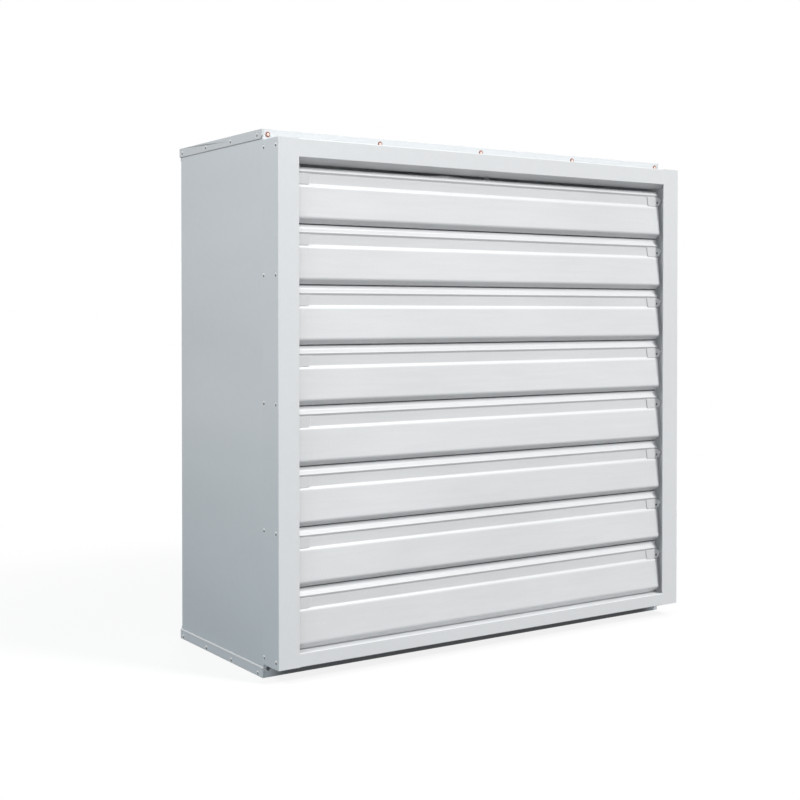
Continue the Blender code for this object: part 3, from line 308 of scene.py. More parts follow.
    def finish(self, shape: Wire, material: Wire, angle: float | None = None) -> Tree:
        """End a geometry tree: one real mesh, shaded smooth, with its material."""
        real = self.geo("RealizeInstances", {0: shape})
        feeds = {"Geometry": self.smooth(real, angle), "Material": material}
        return self.gives(Geometry=self.geo("SetMaterial", feeds))


# Shader groups


def sheet_grain() -> Tree:
    """Slow changes of tone and a fine grain, as coated sheet steel has, with painted shade: darker and bluer at the
    foot, the sides darker than the front, and the frame's shadow on the lower tray.
    """
    graph = Graph.group("sheet_grain", TreeKind.SHADER)
    colour, low_shade_colour, front_colour = graph.takes(Kind.COLOUR, "Colour", "Low Colour", "Front Colour")
    place, zone_stretch, streak_stretch = graph.takes(Kind.VECTOR, "Place", "Zone Stretch", "Streak Stretch")
    zone_depth, grain_scale, grain_depth, streak_depth = graph.takes(
        Kind.FLOAT, "Zone Depth", "Grain Scale", "Grain Depth", "Streak Depth",
    )
    roughness, front_share, under_shade = graph.takes(Kind.FLOAT, "Roughness", "Front Share", "Under Shade")
    zone = graph.noise(graph.vector("MULTIPLY", place, zone_stretch), 1.0, 3.0)
    streak = graph.noise(graph.vector("MULTIPLY", place, streak_stretch), 1.0, 3.0, 0.6)
    grain = graph.noise(place, grain_scale, 2.0, 0.6)
    grain_part = (grain - 0.5) * grain_depth
    fine_part = grain_part + (streak - 0.5) * streak_depth
    shade = (zone - 0.5) * zone_depth * 2.0 + 1.0 + fine_part * 2.0
    across, depth, height = place.parts()
    # Painted shade: the colour fades to the darker, bluer low colour at the foot, and side faces keep the shaded
    # side tone while the front takes the paler front colour.
    faded = graph.mix(graph.spread(height, *FADE_HEIGHTS, 0.0, 1.0), low_shade_colour, colour)
    inner = graph.spread(abs(across), *SIDE_FACE_XS, 1.0, 0.0)
    toned = graph.mix(inner * front_share, faded, front_colour)
    # Painted shadow: the lower tray's front flange, under the frame's overhang, is darkened by the Under Shade
    # share.
    ahead = graph.spread(depth, *FRAME_BACK_YS, 1.0, 0.0)
    within = graph.spread(abs(across), *FRAME_SHADOW_XS, 1.0, 0.0)
    tone = shade * (1.0 - ahead * within * under_shade)
    colour = graph.vector("SCALE", toned, tone)
    return graph.gives(Colour=colour, Roughness=grain_part * 1.5 + roughness, Height=streak * 0.8 + grain)


def worn_edges() -> Tree:
    """A paler or barer line along sharp edges, broken up by noise: wear, and a painted highlight where the edge
    colour is white.
    """
    graph = Graph.group("worn_edges", TreeKind.SHADER)
    colour, edge_colour = graph.takes(Kind.COLOUR, "Colour", "Edge Colour")
    (place,) = graph.takes(Kind.VECTOR, "Place")
    width, strength = graph.takes(Kind.FLOAT, "Width", "Strength")
    rounded = graph.out("ShaderNodeBevel", {"Radius": width}, samples=4)
    straight = graph.out("ShaderNodeNewGeometry", output="Normal")
    bend = 1.0 - graph.vector("DOT_PRODUCT", rounded, straight, output="Value")
    patch = graph.spread(graph.noise(place, 45.0, 4.0, 0.6), 0.38, 0.62, 0.35, 1.0)
    mask = graph.spread(bend, 0.01, 0.16, 0.0, 1.0) * (patch * strength)
    return graph.gives(Colour=graph.mix(mask, colour, edge_colour), Mask=mask)


def settled_dust() -> Tree:
    """Dust on what faces up, and painted shade in seams and corners, darker and browner where ambient occlusion
    finds them closed in.
    """
    graph = Graph.group("settled_dust", TreeKind.SHADER)
    (colour,) = graph.takes(Kind.COLOUR, "Colour")
    (dust,) = graph.takes(Kind.COLOUR, Dust_Colour=(0.45, 0.42, 0.38, 1.0))
    (place,) = graph.takes(Kind.VECTOR, "Place")
    depth, seam, reach = graph.takes(Kind.FLOAT, "Dust Depth", "Seam Depth", Seam_Reach=0.006)
    up = graph.out("ShaderNodeNewGeometry", output="Normal").parts()[2]
    patch = graph.spread(graph.noise(place, 14.0, 4.0, 0.6), 0.35, 0.7, 0.3, 1.0)
    lying = graph.spread(up, 0.4, 0.95, 0.0, 1.0) * patch * depth
    # Painted shade: ambient occlusion darkens and browns seams, corners and recesses where shade falls.
    open_share = graph.out("ShaderNodeAmbientOcclusion", {"Distance": reach}, "AO", samples=4)
    closed = graph.spread(open_share, 0.35, 0.85, 1.0, 0.0)
    mask = graph.math("MAXIMUM", lying, closed * seam)
    return graph.gives(Colour=graph.mix(mask, colour, dust), Mask=mask)


def zinc_spangle() -> Tree:
    """The leafy grains of a zinc coat, each with its own tone."""
    graph = Graph.group("zinc_spangle", TreeKind.SHADER)
    (colour,) = graph.takes(Kind.COLOUR, "Colour")
    (place,) = graph.takes(Kind.VECTOR, "Place")
    size, depth, roughness = graph.takes(Kind.FLOAT, "Grains per Metre", "Tone Depth", "Roughness")
    wobble = graph.out("ShaderNodeTexNoise", {"Vector": place, "Scale": size, "Detail": 1.0}, "Color")
    bent = graph.vector("ADD", place, graph.vector("SCALE", wobble, 0.004))
    tone = graph.out("ShaderNodeTexVoronoi", {"Vector": bent, "Scale": size}, "Color").parts()[0]
    part = (tone - 0.5) * depth
    colour = graph.vector("SCALE", colour, part + 1.0)
    return graph.gives(Colour=colour, Roughness=roughness - part * 0.6, Height=tone)


def turning_rings() -> Tree:
    """Fine tool rings round a turned piece's own axis, which lies along Y."""
    graph = Graph.group("turning_rings", TreeKind.SHADER)
    (colour,) = graph.takes(Kind.COLOUR, "Colour")
    (place,) = graph.takes(Kind.VECTOR, "Place")
    pitch, depth, roughness = graph.takes(Kind.FLOAT, "Rings per Metre", "Ring Depth", "Roughness")
    radius = graph.vector("LENGTH", graph.vector("MULTIPLY", place, (1.0, 0.0, 1.0)), output="Value")
    ring = graph.noise(graph.combine(radius, place.parts()[1]), pitch, 2.0, 0.6)
    part = (ring - 0.5) * depth
    return graph.gives(Colour=graph.vector("SCALE", colour, part + 1.0), Roughness=roughness + part, Height=ring)


def cast_skin() -> Tree:
    """The pitted skin of a sand casting under enamel."""
    graph = Graph.group("cast_skin", TreeKind.SHADER)
    (colour,) = graph.takes(Kind.COLOUR, "Colour")
    (place,) = graph.takes(Kind.VECTOR, "Place")
    grain_scale, depth, roughness = graph.takes(Kind.FLOAT, "Grain Scale", "Tone Depth", "Roughness")
    both = graph.noise(place, 40.0, 4.0, 0.6) * 0.5 + graph.noise(place, grain_scale, 3.0, 0.65) * 0.5
    part = (both - 0.5) * depth
    colour = graph.vector("SCALE", colour, part * 2.0 + 1.0)
    return graph.gives(Colour=colour, Roughness=roughness + part, Height=both)


class Effects:
    """The shader groups, built once and shared by every material."""

    grain = sheet_grain()
    edges = worn_edges()
    dust = settled_dust()
    spangle = zinc_spangle()
    rings = turning_rings()
    skin = cast_skin()


# Finishes

Skin = tuple[Tree, dict[str, Any]]


def rgba(colour: Colour) -> tuple[float, float, float, float]:
    """A colour with full cover."""
    return (*colour, 1.0)


@dataclass(frozen=True)
class Finish:
    """What every finish has: its name, the record's slot, colour, roughness, edges that are worn or carry a painted
    highlight, dust, and painted shade in its seams.
    """

    name: str
    slot: str
    colour: Colour
    roughness: float
    metallic: float = 0.0
    edge_colour: Colour = (0.9, 0.9, 0.9)
    edge_strength: float = 0.25
    edge_width: float = 0.0009
    dust: float = 0.10
    # How strongly painted shade darkens seams and corners.
    seam: float = 0.30
    bump: float = 0.12
    bump_depth: float = 0.0004
    centre: Point = ORIGIN

    def skin(self) -> Skin:
        """The shader group that makes this finish what it is, and the group's own inputs."""
        raise NotImplementedError

    def material(self) -> bpy.types.Material:
        """Make the material, or find it if it is made."""
        found = bpy.data.materials.get(self.name)
        if found is not None:
            return found
        made = bpy.data.materials.new(self.name)
        made.use_nodes = True
        graph = Graph(made.node_tree)
        own = graph.out("ShaderNodeTexCoord", output="Object")
        place = graph.out("ShaderNodeMapping", {"Vector": own, "Location": tuple(-c for c in self.centre)})
        group, inputs = self.skin()
        skin = self.use(graph, group, {"Roughness": self.roughness, **inputs}, rgba(self.colour), place)
        feeds = {"Edge Colour": rgba(self.edge_colour), "Width": self.edge_width, "Strength": self.edge_strength}
        edges = self.use(graph, Effects.edges, feeds, skin["Colour"], place)
        # Dust on what faces up, and painted shade in seams and corners.
        feeds = {"Dust Depth": self.dust, "Seam Depth": self.seam}
        dust = self.use(graph, Effects.dust, feeds, edges["Colour"], place)
        feeds = {"Height": skin["Height"], "Strength": self.bump, "Distance": self.bump_depth}
        results = {
            "Metallic": self.metallic,
            "Base Color": dust["Colour"],
            "Roughness": graph.math("MULTIPLY_ADD", dust["Mask"], 0.25, skin["Roughness"]),
            "Normal": graph.out("ShaderNodeBump", feeds),
        }
        for name, value in results.items():
            graph.feed(graph.tree.nodes["Principled BSDF"].inputs[name], value)
        made.diffuse_color = rgba(self.colour)
        return made

    @staticmethod
    def use(graph: Graph, group: Tree, feeds: dict[str, Any], colour: Any, place: Wire) -> bpy.types.NodeOutputs:
        """Place a shader group in a material.

        Args:
            graph: The material's nodes.
            group: The group.
            feeds: Its own inputs.
            colour: The colour that it works on.
            place: The piece's coordinates.

        Returns:
            The group's outputs.
        """
        return graph.node("ShaderNodeGroup", {**feeds, "Colour": colour, "Place": place}, node_tree=group).outputs


@dataclass(frozen=True)
class CoatedSheet(Finish):
    """Coated sheet steel with a fine grain, slow changes of tone, and painted shade at its foot, on its sides and
    under the frame.
    """

    zone_stretch: Point = (0.8, 0.8, 3.0)
    zone_depth: float = 0.03
    grain_scale: float = 900.0
    grain_depth: float = 0.08
    streak_stretch: Point = (70.0, 70.0, 70.0)
    streak_depth: float = 0.02
    # Painted shade: the darker colour at the foot, and the paler front colour against the shaded sides.
    low_shade_colour: Colour | None = None
    front_colour: Colour | None = None
    # How dark the painted shadow under the frame is.
    under_shade: float = 0.0

    def skin(self) -> Skin:
        """The sheet's grain, with painted shade at the foot and on the sides, and the frame's painted shadow."""
        return Effects.grain, {
            "Front Colour": rgba(self.front_colour or self.colour),
            "Front Share": 1.0 if self.front_colour else 0.0,
            "Low Colour": rgba(self.low_shade_colour or self.colour),
            "Zone Stretch": self.zone_stretch,
            "Zone Depth": self.zone_depth,
            "Grain Scale": self.grain_scale,
            "Grain Depth": self.grain_depth,
            "Streak Stretch": self.streak_stretch,
            "Streak Depth": self.streak_depth,
            "Under Shade": self.under_shade,
        }


@dataclass(frozen=True)
class ZincSteel(Finish):
    """Zinc-plated or galvanised steel."""

    grains: float = 140.0
    tone_depth: float = 0.16

    def skin(self) -> Skin:
        """The zinc grains."""
        return Effects.spangle, {"Grains per Metre": self.grains, "Tone Depth": self.tone_depth}


@dataclass(frozen=True)
class TurnedSteel(Finish):
    """Bright machined steel, with rings round its centre."""

    rings: float = 2200.0
    ring_depth: float = 0.12

    def skin(self) -> Skin:
        """The tool rings."""
        return Effects.rings, {"Rings per Metre": self.rings, "Ring Depth": self.ring_depth}


@dataclass(frozen=True)
class Casting(Finish):
    """A casting, or a moulding, with a grained skin."""

    grain_scale: float = 420.0
    tone_depth: float = 0.16

    def skin(self) -> Skin:
        """The cast skin."""
        return Effects.skin, {"Grain Scale": self.grain_scale, "Tone Depth": self.tone_depth}


SHAFT_Z = 0.5
MOTOR_Z = 0.2
SHAFT_CENTRE = (0.0, 0.0, SHAFT_Z)
MOTOR_CENTRE = (0.0, 0.0, MOTOR_Z)
WHITE = (1.0, 1.0, 1.0)
# The sides' paint is a little darker and bluer than the front's, and darker and bluer still at the foot: painted
# shade.
SHADED_SIDE_TONE = (0.70, 0.73, 0.75)
SIDE_LOW_SHADE_TONE = (0.60, 0.66, 0.695)
# White edges on the trays: a painted highlight along their lit bends; the seam setting darkens their seams with
# painted shade.
TRAY_HIGHLIT_EDGES = {"edge_colour": WHITE, "edge_strength": 0.8, "edge_width": 0.0016, "seam": 0.5}

# The frame's side faces are painted in the shaded side tone, its front in the paler front colour.
FRAME_PAINT = CoatedSheet(
    "frame_paint", "coated_sheet", SHADED_SIDE_TONE, 0.44, seam=0.08, low_shade_colour=SIDE_LOW_SHADE_TONE,
    front_colour=(0.735, 0.745, 0.755),
)
TRAY_PAINT = CoatedSheet("tray_paint", "side_sheet", (0.665, 0.685, 0.70), 0.46, **TRAY_HIGHLIT_EDGES)
# The lower tray's front flange carries a painted shadow of the frame's overhang.
LOWER_TRAY_PAINT = CoatedSheet(
    "lower_tray_paint", "side_sheet", (0.645, 0.70, 0.735), 0.46, under_shade=0.80, **TRAY_HIGHLIT_EDGES,
)
# The side panels are painted in the shaded side tone, darker and bluer towards the foot.
SIDE_PAINT = CoatedSheet(
    "side_paint", "side_sheet", SHADED_SIDE_TONE, 0.47, zone_stretch=(1.0, 1.1, 4.5), zone_depth=0.10, seam=0.4,
    low_shade_colour=SIDE_LOW_SHADE_TONE,
)
LOUVRE_PAINT = CoatedSheet(
    "louvre_paint", "louvre_sheet", (0.715, 0.72, 0.73), 0.40, zone_stretch=(2.6, 1.0, 5.0), zone_depth=0.10,
    streak_stretch=(9.0, 120.0, 120.0), streak_depth=0.045, seam=0.10,
)
# White edges on the clips: a painted highlight along their rims.
CLIP_PAINT = CoatedSheet(
    "clip_paint", "louvre_sheet", (0.70, 0.705, 0.715), 0.36, edge_colour=WHITE, edge_strength=0.9,
    edge_width=0.0014, seam=0.12,
)
# A near-white strip along the lower tray's flange tops: painted highlight.
HEM_HIGHLIGHT = CoatedSheet("hem_paint", "side_sheet", (0.90, 0.91, 0.92), 0.40, seam=0.0)
# Near-black faces on each louvre's lip: painted shade in the gap under the fold above.
LAP_SHADE = Casting(
    "lap_seal", "louvre_sheet", (0.10, 0.10, 0.105), 0.70, edge_strength=0.0, dust=0.0, grain_scale=900.0,
)
THROAT_PAINT = CoatedSheet("throat_paint", "coated_sheet", (0.72, 0.73, 0.735), 0.48, dust=0.25)
ZINC = ZincSteel("galvanised_sheet", "zinc_steel", (0.60, 0.61, 0.62), 0.42, 0.9, bump=0.04)
FINE_ZINC = ZincSteel("plated_fastener", "zinc_steel", (0.66, 0.66, 0.65), 0.32, 1.0, grains=900.0, tone_depth=0.1)
RIVET_METAL = ZincSteel(
    "rivet_metal", "zinc_steel", (0.92, 0.92, 0.92), 0.30, 0.35, grains=1200.0, tone_depth=0.08, seam=0.5,
)
PIN_STEEL = ZincSteel("pin_steel", "zinc_steel", (0.045, 0.045, 0.05), 0.55, 0.25, grains=1200.0, seam=0.6, dust=0.0)
INSERT_RIM = ZincSteel(
    "insert_rim", "zinc_steel", (0.24, 0.095, 0.07), 0.50, 0.35, grains=1500.0, tone_depth=0.5, dust=0.0,
)
INSERT_CORE = ZincSteel(
    "insert_core", "zinc_steel", (0.86, 0.66, 0.58), 0.45, 0.2, grains=1500.0, tone_depth=0.15, dust=0.0, seam=0.1,
)
CAST_GREY = Casting("cast_enamel", "cast_grey", (0.20, 0.21, 0.22), 0.50, 0.1, edge_colour=(0.42, 0.42, 0.42))
MOTOR_BLUE = Casting(
    "motor_enamel", "motor_blue", (0.075, 0.15, 0.27), 0.42, edge_colour=(0.25, 0.33, 0.43), grain_scale=600.0,
)
SHAFT_STEEL = TurnedSteel("shaft_steel", "turned_steel", (0.58, 0.58, 0.59), 0.28, 1.0, centre=SHAFT_CENTRE)
MOTOR_STEEL = TurnedSteel("motor_steel", "turned_steel", (0.58, 0.58, 0.59), 0.28, 1.0, centre=MOTOR_CENTRE)
BLADE_STEEL = TurnedSteel(
    "blade_steel", "turned_steel", (0.64, 0.65, 0.66), 0.34, 0.9, rings=420.0, ring_depth=0.09, centre=SHAFT_CENTRE,
)
# A darkened copy of the motor's blue: painted shade inside the cowl's intake.
INTAKE_SHADE = Casting(
    "cowl_intake", "motor_blue", (0.012, 0.018, 0.028), 0.6, edge_colour=(0.03, 0.05, 0.08), grain_scale=600.0,
)
BELT_RUBBER = Casting(
    "belt_rubber", "black_rubber", (0.028, 0.028, 0.03), 0.72, edge_colour=(0.09, 0.09, 0.09), grain_scale=1100.0,
)
GLAND_NYLON = Casting(
    "gland_nylon", "black_plastic", (0.03, 0.03, 0.032), 0.48, edge_colour=(0.10, 0.10, 0.10), grain_scale=900.0,
)
NODE_FINISHES: tuple[tuple[Finish, tuple[str, ...]], ...] = (
    (TRAY_PAINT, ("top_panel",)),
    (LOWER_TRAY_PAINT, ("bottom_panel",)),
    (SIDE_PAINT, ("left_side_panel", "right_side_panel")),
    (FRAME_PAINT, ("left_stile", "right_stile", "top_rail", "bottom_rail")),
    (THROAT_PAINT, ("orifice_plate",)),
    (ZINC, ("left_support_beam", "right_support_beam", "bearing_bridge", "motor_mount_plate", "tie_bar")),
    (CAST_GREY, ("bearing_housing", "impeller_hub", "driven_pulley", "drive_pulley")),
    (SHAFT_STEEL, ("front_bearing", "rear_bearing", "fan_shaft")),
    (MOTOR_STEEL, ("motor_shaft",)),
    (ZINC, ("blade_clamp_plate",)),
    (MOTOR_BLUE, ("motor_body", "motor_fan_cowl", "terminal_box")),
    (GLAND_NYLON, ("cable_gland",)),
    (BELT_RUBBER, ("drive_belt",)),
    (BLADE_STEEL, tuple(f"blade_{i}" for i in range(1, 7))),
)


# Geometry trees


def smoothing_tree() -> Tree:
    """Weld loose triangles and shade them smooth, with sharp edges kept."""
    graph = Graph.group("weld_and_smooth", TreeKind.GEOMETRY)
    (solid,) = graph.takes(Kind.GEOMETRY, "Geometry")
    weld, sharp = graph.takes(Kind.FLOAT, Weld_Distance=WELD, Sharp_Angle=math.radians(33.0))
    welded = graph.geo("MergeByDistance", {"Geometry": solid, "Distance": weld})
    plain = graph.geo("RemoveAttribute", {"Geometry": welded, "Name": "custom_normal"})
    return graph.gives(Geometry=graph.smooth(plain, sharp))


def fastener_tree() -> Tree:
    """A domed or hexagonal head on a washer, at every point, with a pit in its top."""
    graph = Graph.group("fasteners", TreeKind.GEOMETRY)
    (cloud,) = graph.takes(Kind.GEOMETRY, "Geometry")
    radius, height, dome = graph.takes(Kind.FLOAT, "Head Radius", "Head Height", "Dome")
    washer_radius, washer_height = graph.takes(Kind.FLOAT, "Washer Radius", "Washer Height")
    pit_share, pit_depth = graph.takes(Kind.FLOAT, "Pit Share", "Pit Depth")
    sides, seed = graph.takes(Kind.WHOLE, "Sides", "Seed")
    (finish,) = graph.takes(Kind.MATERIAL, "Finish")
    feeds = {"Vertices": sides, "Side Segments": 4, "Radius": radius, "Depth": height}
    head = graph.node("GeometryNodeMeshCylinder", feeds, fill_type="NGON").outputs
    place = graph.geo("InputPosition")
    share = place.parts()[2] / height + 0.5
    shrink = graph.math("SQRT", 1.0 - dome * (share * share))
    inward = graph.vector("MULTIPLY", place, graph.combine(shrink, shrink, 1.0))
    domed = graph.geo("SetPosition", {"Geometry": head["Mesh"], "Position": inward})
    feeds = {"Mesh": domed, "Selection": head["Top"], "Offset Scale": 0.0, "Individual": False}
    rim = graph.node("GeometryNodeExtrudeMesh", feeds, mode="FACES").outputs
    inset = graph.geo("ScaleElements", {"Geometry": rim["Mesh"], "Selection": rim["Top"], "Scale": pit_share})
    feeds = {"Mesh": inset, "Selection": rim["Top"], "Offset Scale": pit_depth * -1.0}
    pit = graph.geo("ExtrudeMesh", feeds, "Mesh", mode="FACES")
    lift = graph.combine(z=height * 0.5 + washer_height)
    raised = graph.geo("Transform", {"Geometry": pit, "Translation": lift})
    feeds = {"Vertices": 20, "Side Segments": 1, "Radius": washer_radius, "Depth": washer_height}
    washer = graph.geo("MeshCylinder", feeds, "Mesh", fill_type="NGON")
    seated = graph.geo("Transform", {"Geometry": washer, "Translation": graph.combine(z=washer_height * 0.5)})
    whole = graph.geo("JoinGeometry", {0: [raised, seated]})
    facing = graph.geo("InputNamedAttribute", {"Name": "facing"}, data_type="FLOAT_VECTOR")
    outward = graph.out("FunctionNodeAlignRotationToVector", {"Vector": facing}, axis="Z")
    feeds = {0: ORIGIN, 1: (0.0, 0.0, 6.28), "Seed": seed}
    turn = graph.out("FunctionNodeRandomValue", feeds, data_type="FLOAT_VECTOR")
    own_turn = graph.out("FunctionNodeEulerToRotation", {0: turn})
    pose = graph.out("FunctionNodeRotateRotation", {0: outward, 1: own_turn}, rotation_space="LOCAL")
    return graph.finish(graph.place(cloud, whole, Rotation=pose), finish, math.radians(36.0))


def rivet_seat_tree() -> Tree:
    """Shallow round dimples pressed into a solid in rows, so that rivet heads lie flush."""
    graph = Graph.group("rivet_seats", TreeKind.GEOMETRY)
    (solid,) = graph.takes(Kind.GEOMETRY, "Geometry")
    start, step, row_step = graph.takes(Kind.VECTOR, "Start", "Step", "Row Step")
    count, rows = graph.takes(Kind.WHOLE, "Count", "Rows")
    radius, depth = graph.takes(Kind.FLOAT, "Seat Radius", "Seat Depth")
    row = graph.line(count, start, step)
    spots = graph.geo("RealizeInstances", {0: graph.place(graph.line(rows, ORIGIN, row_step), row)})
    ball = graph.geo("MeshUVSphere", {"Segments": 20, "Rings": 10, "Radius": 1.0}, "Mesh")
    cutters = graph.place(spots, ball, Scale=graph.combine(depth, radius, radius))
    tools = graph.geo("RealizeInstances", {0: cutters})
    welded = graph.geo("MergeByDistance", {"Geometry": solid, "Distance": WELD})
    feeds = {"Mesh 1": welded, "Mesh 2": tools}
    return graph.gives(Geometry=graph.geo("MeshBoolean", feeds, operation="DIFFERENCE", solver="MANIFOLD"))


def rolled_blade_tree() -> Tree:
    """A louvre's sheet: its outline drawn out along X, with the slight waves of thin rolled steel."""
    graph = Graph.group("rolled_blade", TreeKind.GEOMETRY)
    (outline,) = graph.takes(Kind.GEOMETRY, "Geometry")
    count, steps = graph.takes(Kind.WHOLE, "Outline Points", "Steps")
    half, wave, scale, seed = graph.takes(Kind.FLOAT, "Half Length", "Wave Height", "Waves per Metre", "Seed")
    (finish,) = graph.takes(Kind.MATERIAL, "Finish")
    feeds = {"Size X": half * 2.0, "Size Y": 1.0, "Vertices X": steps, "Vertices Y": count}
    grid = graph.geo("MeshGrid", feeds, "Mesh")
    place = graph.geo("InputPosition")
    feeds = {"Geometry": outline, "Value": place, "Index": graph.math("MODULO", graph.geo("InputIndex"), count)}
    sample = graph.geo("SampleIndex", feeds, "Value", data_type="FLOAT_VECTOR", domain="POINT")
    _, depth, height = sample.parts()
    along = place.parts()[0]
    ripple = graph.noise(graph.combine(along, seed, height), scale, 1.0) - 0.5
    calm = graph.spread(half - abs(along), 0.0, 0.06, 0.0, 1.0)
    target = graph.combine(along, depth + ripple * wave * (calm * 2.0), height)
    return graph.finish(graph.geo("SetPosition", {"Geometry": grid, "Position": target}), finish)


def wire_net_tree() -> Tree:
    """A welded net: upright and level round wires, one layer pressed into the other, in a thicker rim."""
    graph = Graph.group("wire_net", TreeKind.GEOMETRY)
    graph.takes(Kind.GEOMETRY, "Geometry")
    half_x, half_z, radius, layer = graph.takes(Kind.FLOAT, "Half Width", "Half Height", "Wire Radius", "Layer Step")
    (cells,) = graph.takes(Kind.WHOLE, "Cells")
    (centre,) = graph.takes(Kind.VECTOR, "Centre")
    (finish,) = graph.takes(Kind.MATERIAL, "Finish")
    circle = graph.circle(12, radius)
    pieces = []
    for reach, spread, axis, across, lift in ((half_z, half_x, "z", "x", 0.0), (half_x, half_z, "x", "z", -1.0)):
        step = spread * 2.0 / cells
        ends = {"Start": graph.combine(**{axis: reach * -1.0}), "End": graph.combine(**{axis: reach})}
        wire = graph.tube(graph.geo("CurvePrimitiveLine", ends), circle, caps=True)
        first = graph.combine(**{across: step - spread, "y": layer * lift})
        row = graph.line(cells - 1.0, first, graph.combine(**{across: step}))
        pieces.append(graph.place(row, wire))
    feeds = {"Width": half_x * 2.0, "Height": half_z * 2.0}
    square = graph.geo("CurvePrimitiveQuadrilateral", feeds, mode="RECTANGLE")
    upright = graph.geo("Transform", {"Geometry": square, "Rotation": (QUARTER, 0.0, 0.0)})
    rounded = graph.geo("FilletCurve", {0: upright, "Radius": 0.012, "Count": 6}, mode="POLY")
    pieces.append(graph.tube(rounded, graph.circle(14, radius * 1.35)))
    whole = graph.geo("JoinGeometry", {0: pieces})
    moved = graph.geo("Transform", {"Geometry": whole, "Translation": centre})
    return graph.finish(moved, finish, math.radians(50.0))


def round_grille_tree() -> Tree:
    """A round grille that faces along Y: rings at even steps, held by ribs that run out from the middle."""
    graph = Graph.group("round_grille", TreeKind.GEOMETRY)
    graph.takes(Kind.GEOMETRY, "Geometry")
    rings, ribs = graph.takes(Kind.WHOLE, "Rings", "Ribs")
    first, step, wire = graph.takes(Kind.FLOAT, "First Radius", "Ring Step", "Wire Radius")
    (centre,) = graph.takes(Kind.VECTOR, "Centre")
    (finish,) = graph.takes(Kind.MATERIAL, "Finish")
    profile = graph.circle(8, wire)
    number = graph.geo("InputIndex")
    placed = graph.place(graph.line(rings, ORIGIN, ORIGIN), graph.circle(48, 1.0))
    scaled = graph.geo("ScaleInstances", {"Instances": placed, "Scale": number * step + first})
    hoops = graph.tube(graph.geo("RealizeInstances", {0: scaled}), profile)
    ends = {"Start": ORIGIN, "End": graph.combine((rings - 1.0) * step + first)}
    rib = graph.tube(graph.geo("CurvePrimitiveLine", ends), profile, caps=True)
    angle = number * (2 * math.pi) / ribs
    spin = graph.out("FunctionNodeEulerToRotation", {0: graph.combine(z=angle)})
    spokes = graph.place(graph.line(ribs, ORIGIN, ORIGIN), rib, Rotation=spin)
    whole = graph.geo("JoinGeometry", {0: [hoops, spokes]})
    feeds = {"Geometry": whole, "Rotation": (QUARTER, 0.0, 0.0), "Translation": centre}
    return graph.finish(graph.geo("Transform", feeds), finish)


class Trees:
    """The geometry trees, built once and shared by every piece."""

    weld = smoothing_tree()
    heads = fastener_tree()
    seats = rivet_seat_tree()
    blade = rolled_blade_tree()
    net = wire_net_tree()
    grille = round_grille_tree()


# Shared geometry


class Mesh:
    """Short calls that turn drawn shapes into finished pieces."""

    @staticmethod
    def link(name: str, mesh: bpy.types.Mesh | None = None) -> Thing:
        """Put a mesh, or an empty one, into the scene as an object at the origin."""
        thing = bpy.data.objects.new(name, mesh or bpy.data.meshes.new(name))
        bpy.context.scene.collection.objects.link(thing)
        return thing

    @staticmethod
    def points(name: str, places: Sequence[Sequence[float]]) -> Thing:
        """Make an object of loose points."""
        mesh = bpy.data.meshes.new(name)
        mesh.from_pydata([tuple(place) for place in places], [], [])
        return Mesh.link(name, mesh)

    @staticmethod
    def solid(name: str, shape: bmesh.types.BMesh) -> Thing:
        """Turn a drawn shape into an object, with its faces turned outward."""
        bmesh.ops.recalc_face_normals(shape, faces=shape.faces)
        thing = Mesh.link(name)
        shape.to_mesh(thing.data)
        shape.free()
        return thing

    @staticmethod
    def apply(thing: Thing) -> None:
        """Turn an object's modifiers into its plain mesh, in place."""
        graph = bpy.context.evaluated_depsgraph_get()
        made = bpy.data.meshes.new_from_object(thing.evaluated_get(graph), depsgraph=graph)
        thing.modifiers.clear()
        thing.data = made
        made.name = thing.name

    @staticmethod
    def add_tree(thing: Thing, tree: Tree, values: dict[str, Any]) -> None:
        """Add a geometry tree as a modifier.

        Args:
            thing: The object.
            tree: The tree.
            values: A value for each of its named inputs.
        """
        modifier = thing.modifiers.new(tree.name, "NODES")
        modifier.node_group = tree
        sockets = {s.name: s.identifier for s in tree.interface.items_tree if s.in_out == "INPUT"}
        for name, value in values.items():
            modifier[sockets[name]] = value

    @staticmethod
    def grow(thing: Thing, tree: Tree, values: dict[str, Any]) -> Thing:
        """Run a geometry tree on an object and keep the result as its plain mesh."""
        Mesh.add_tree(thing, tree, values)
        Mesh.apply(thing)
        return thing


@dataclass(frozen=True)
class EdgeRounding:
    """Welds a solid, rounds its sharp edges a little and shades it smooth."""

    width: float = 0.0003
    segments: int = 2
    bevel_angle: float = math.radians(40.0)
    flat_angle: float = math.radians(0.6)
    face_weight: int = 80

    def add(self, thing: Thing) -> None:
        """Add the modifiers to a node of the model, or to a piece."""
        Mesh.add_tree(thing, Trees.weld, {})
        flat = thing.modifiers.new("flats", "DECIMATE")
        flat.decimate_type = "DISSOLVE"
        flat.angle_limit = self.flat_angle
        flat.delimit = {"SHARP"}
        bevel = thing.modifiers.new("rounding", "BEVEL")
        bevel.width = self.width
        bevel.segments = self.segments
        bevel.limit_method = "ANGLE"
        bevel.angle_limit = self.bevel_angle
        bevel.use_clamp_overlap = True
        bevel.miter_outer = "MITER_ARC"
        level = thing.modifiers.new("flat_shading", "WEIGHTED_NORMAL")
        level.mode = "FACE_AREA"
        level.weight = self.face_weight
        level.keep_sharp = True


ROUNDING = EdgeRounding()


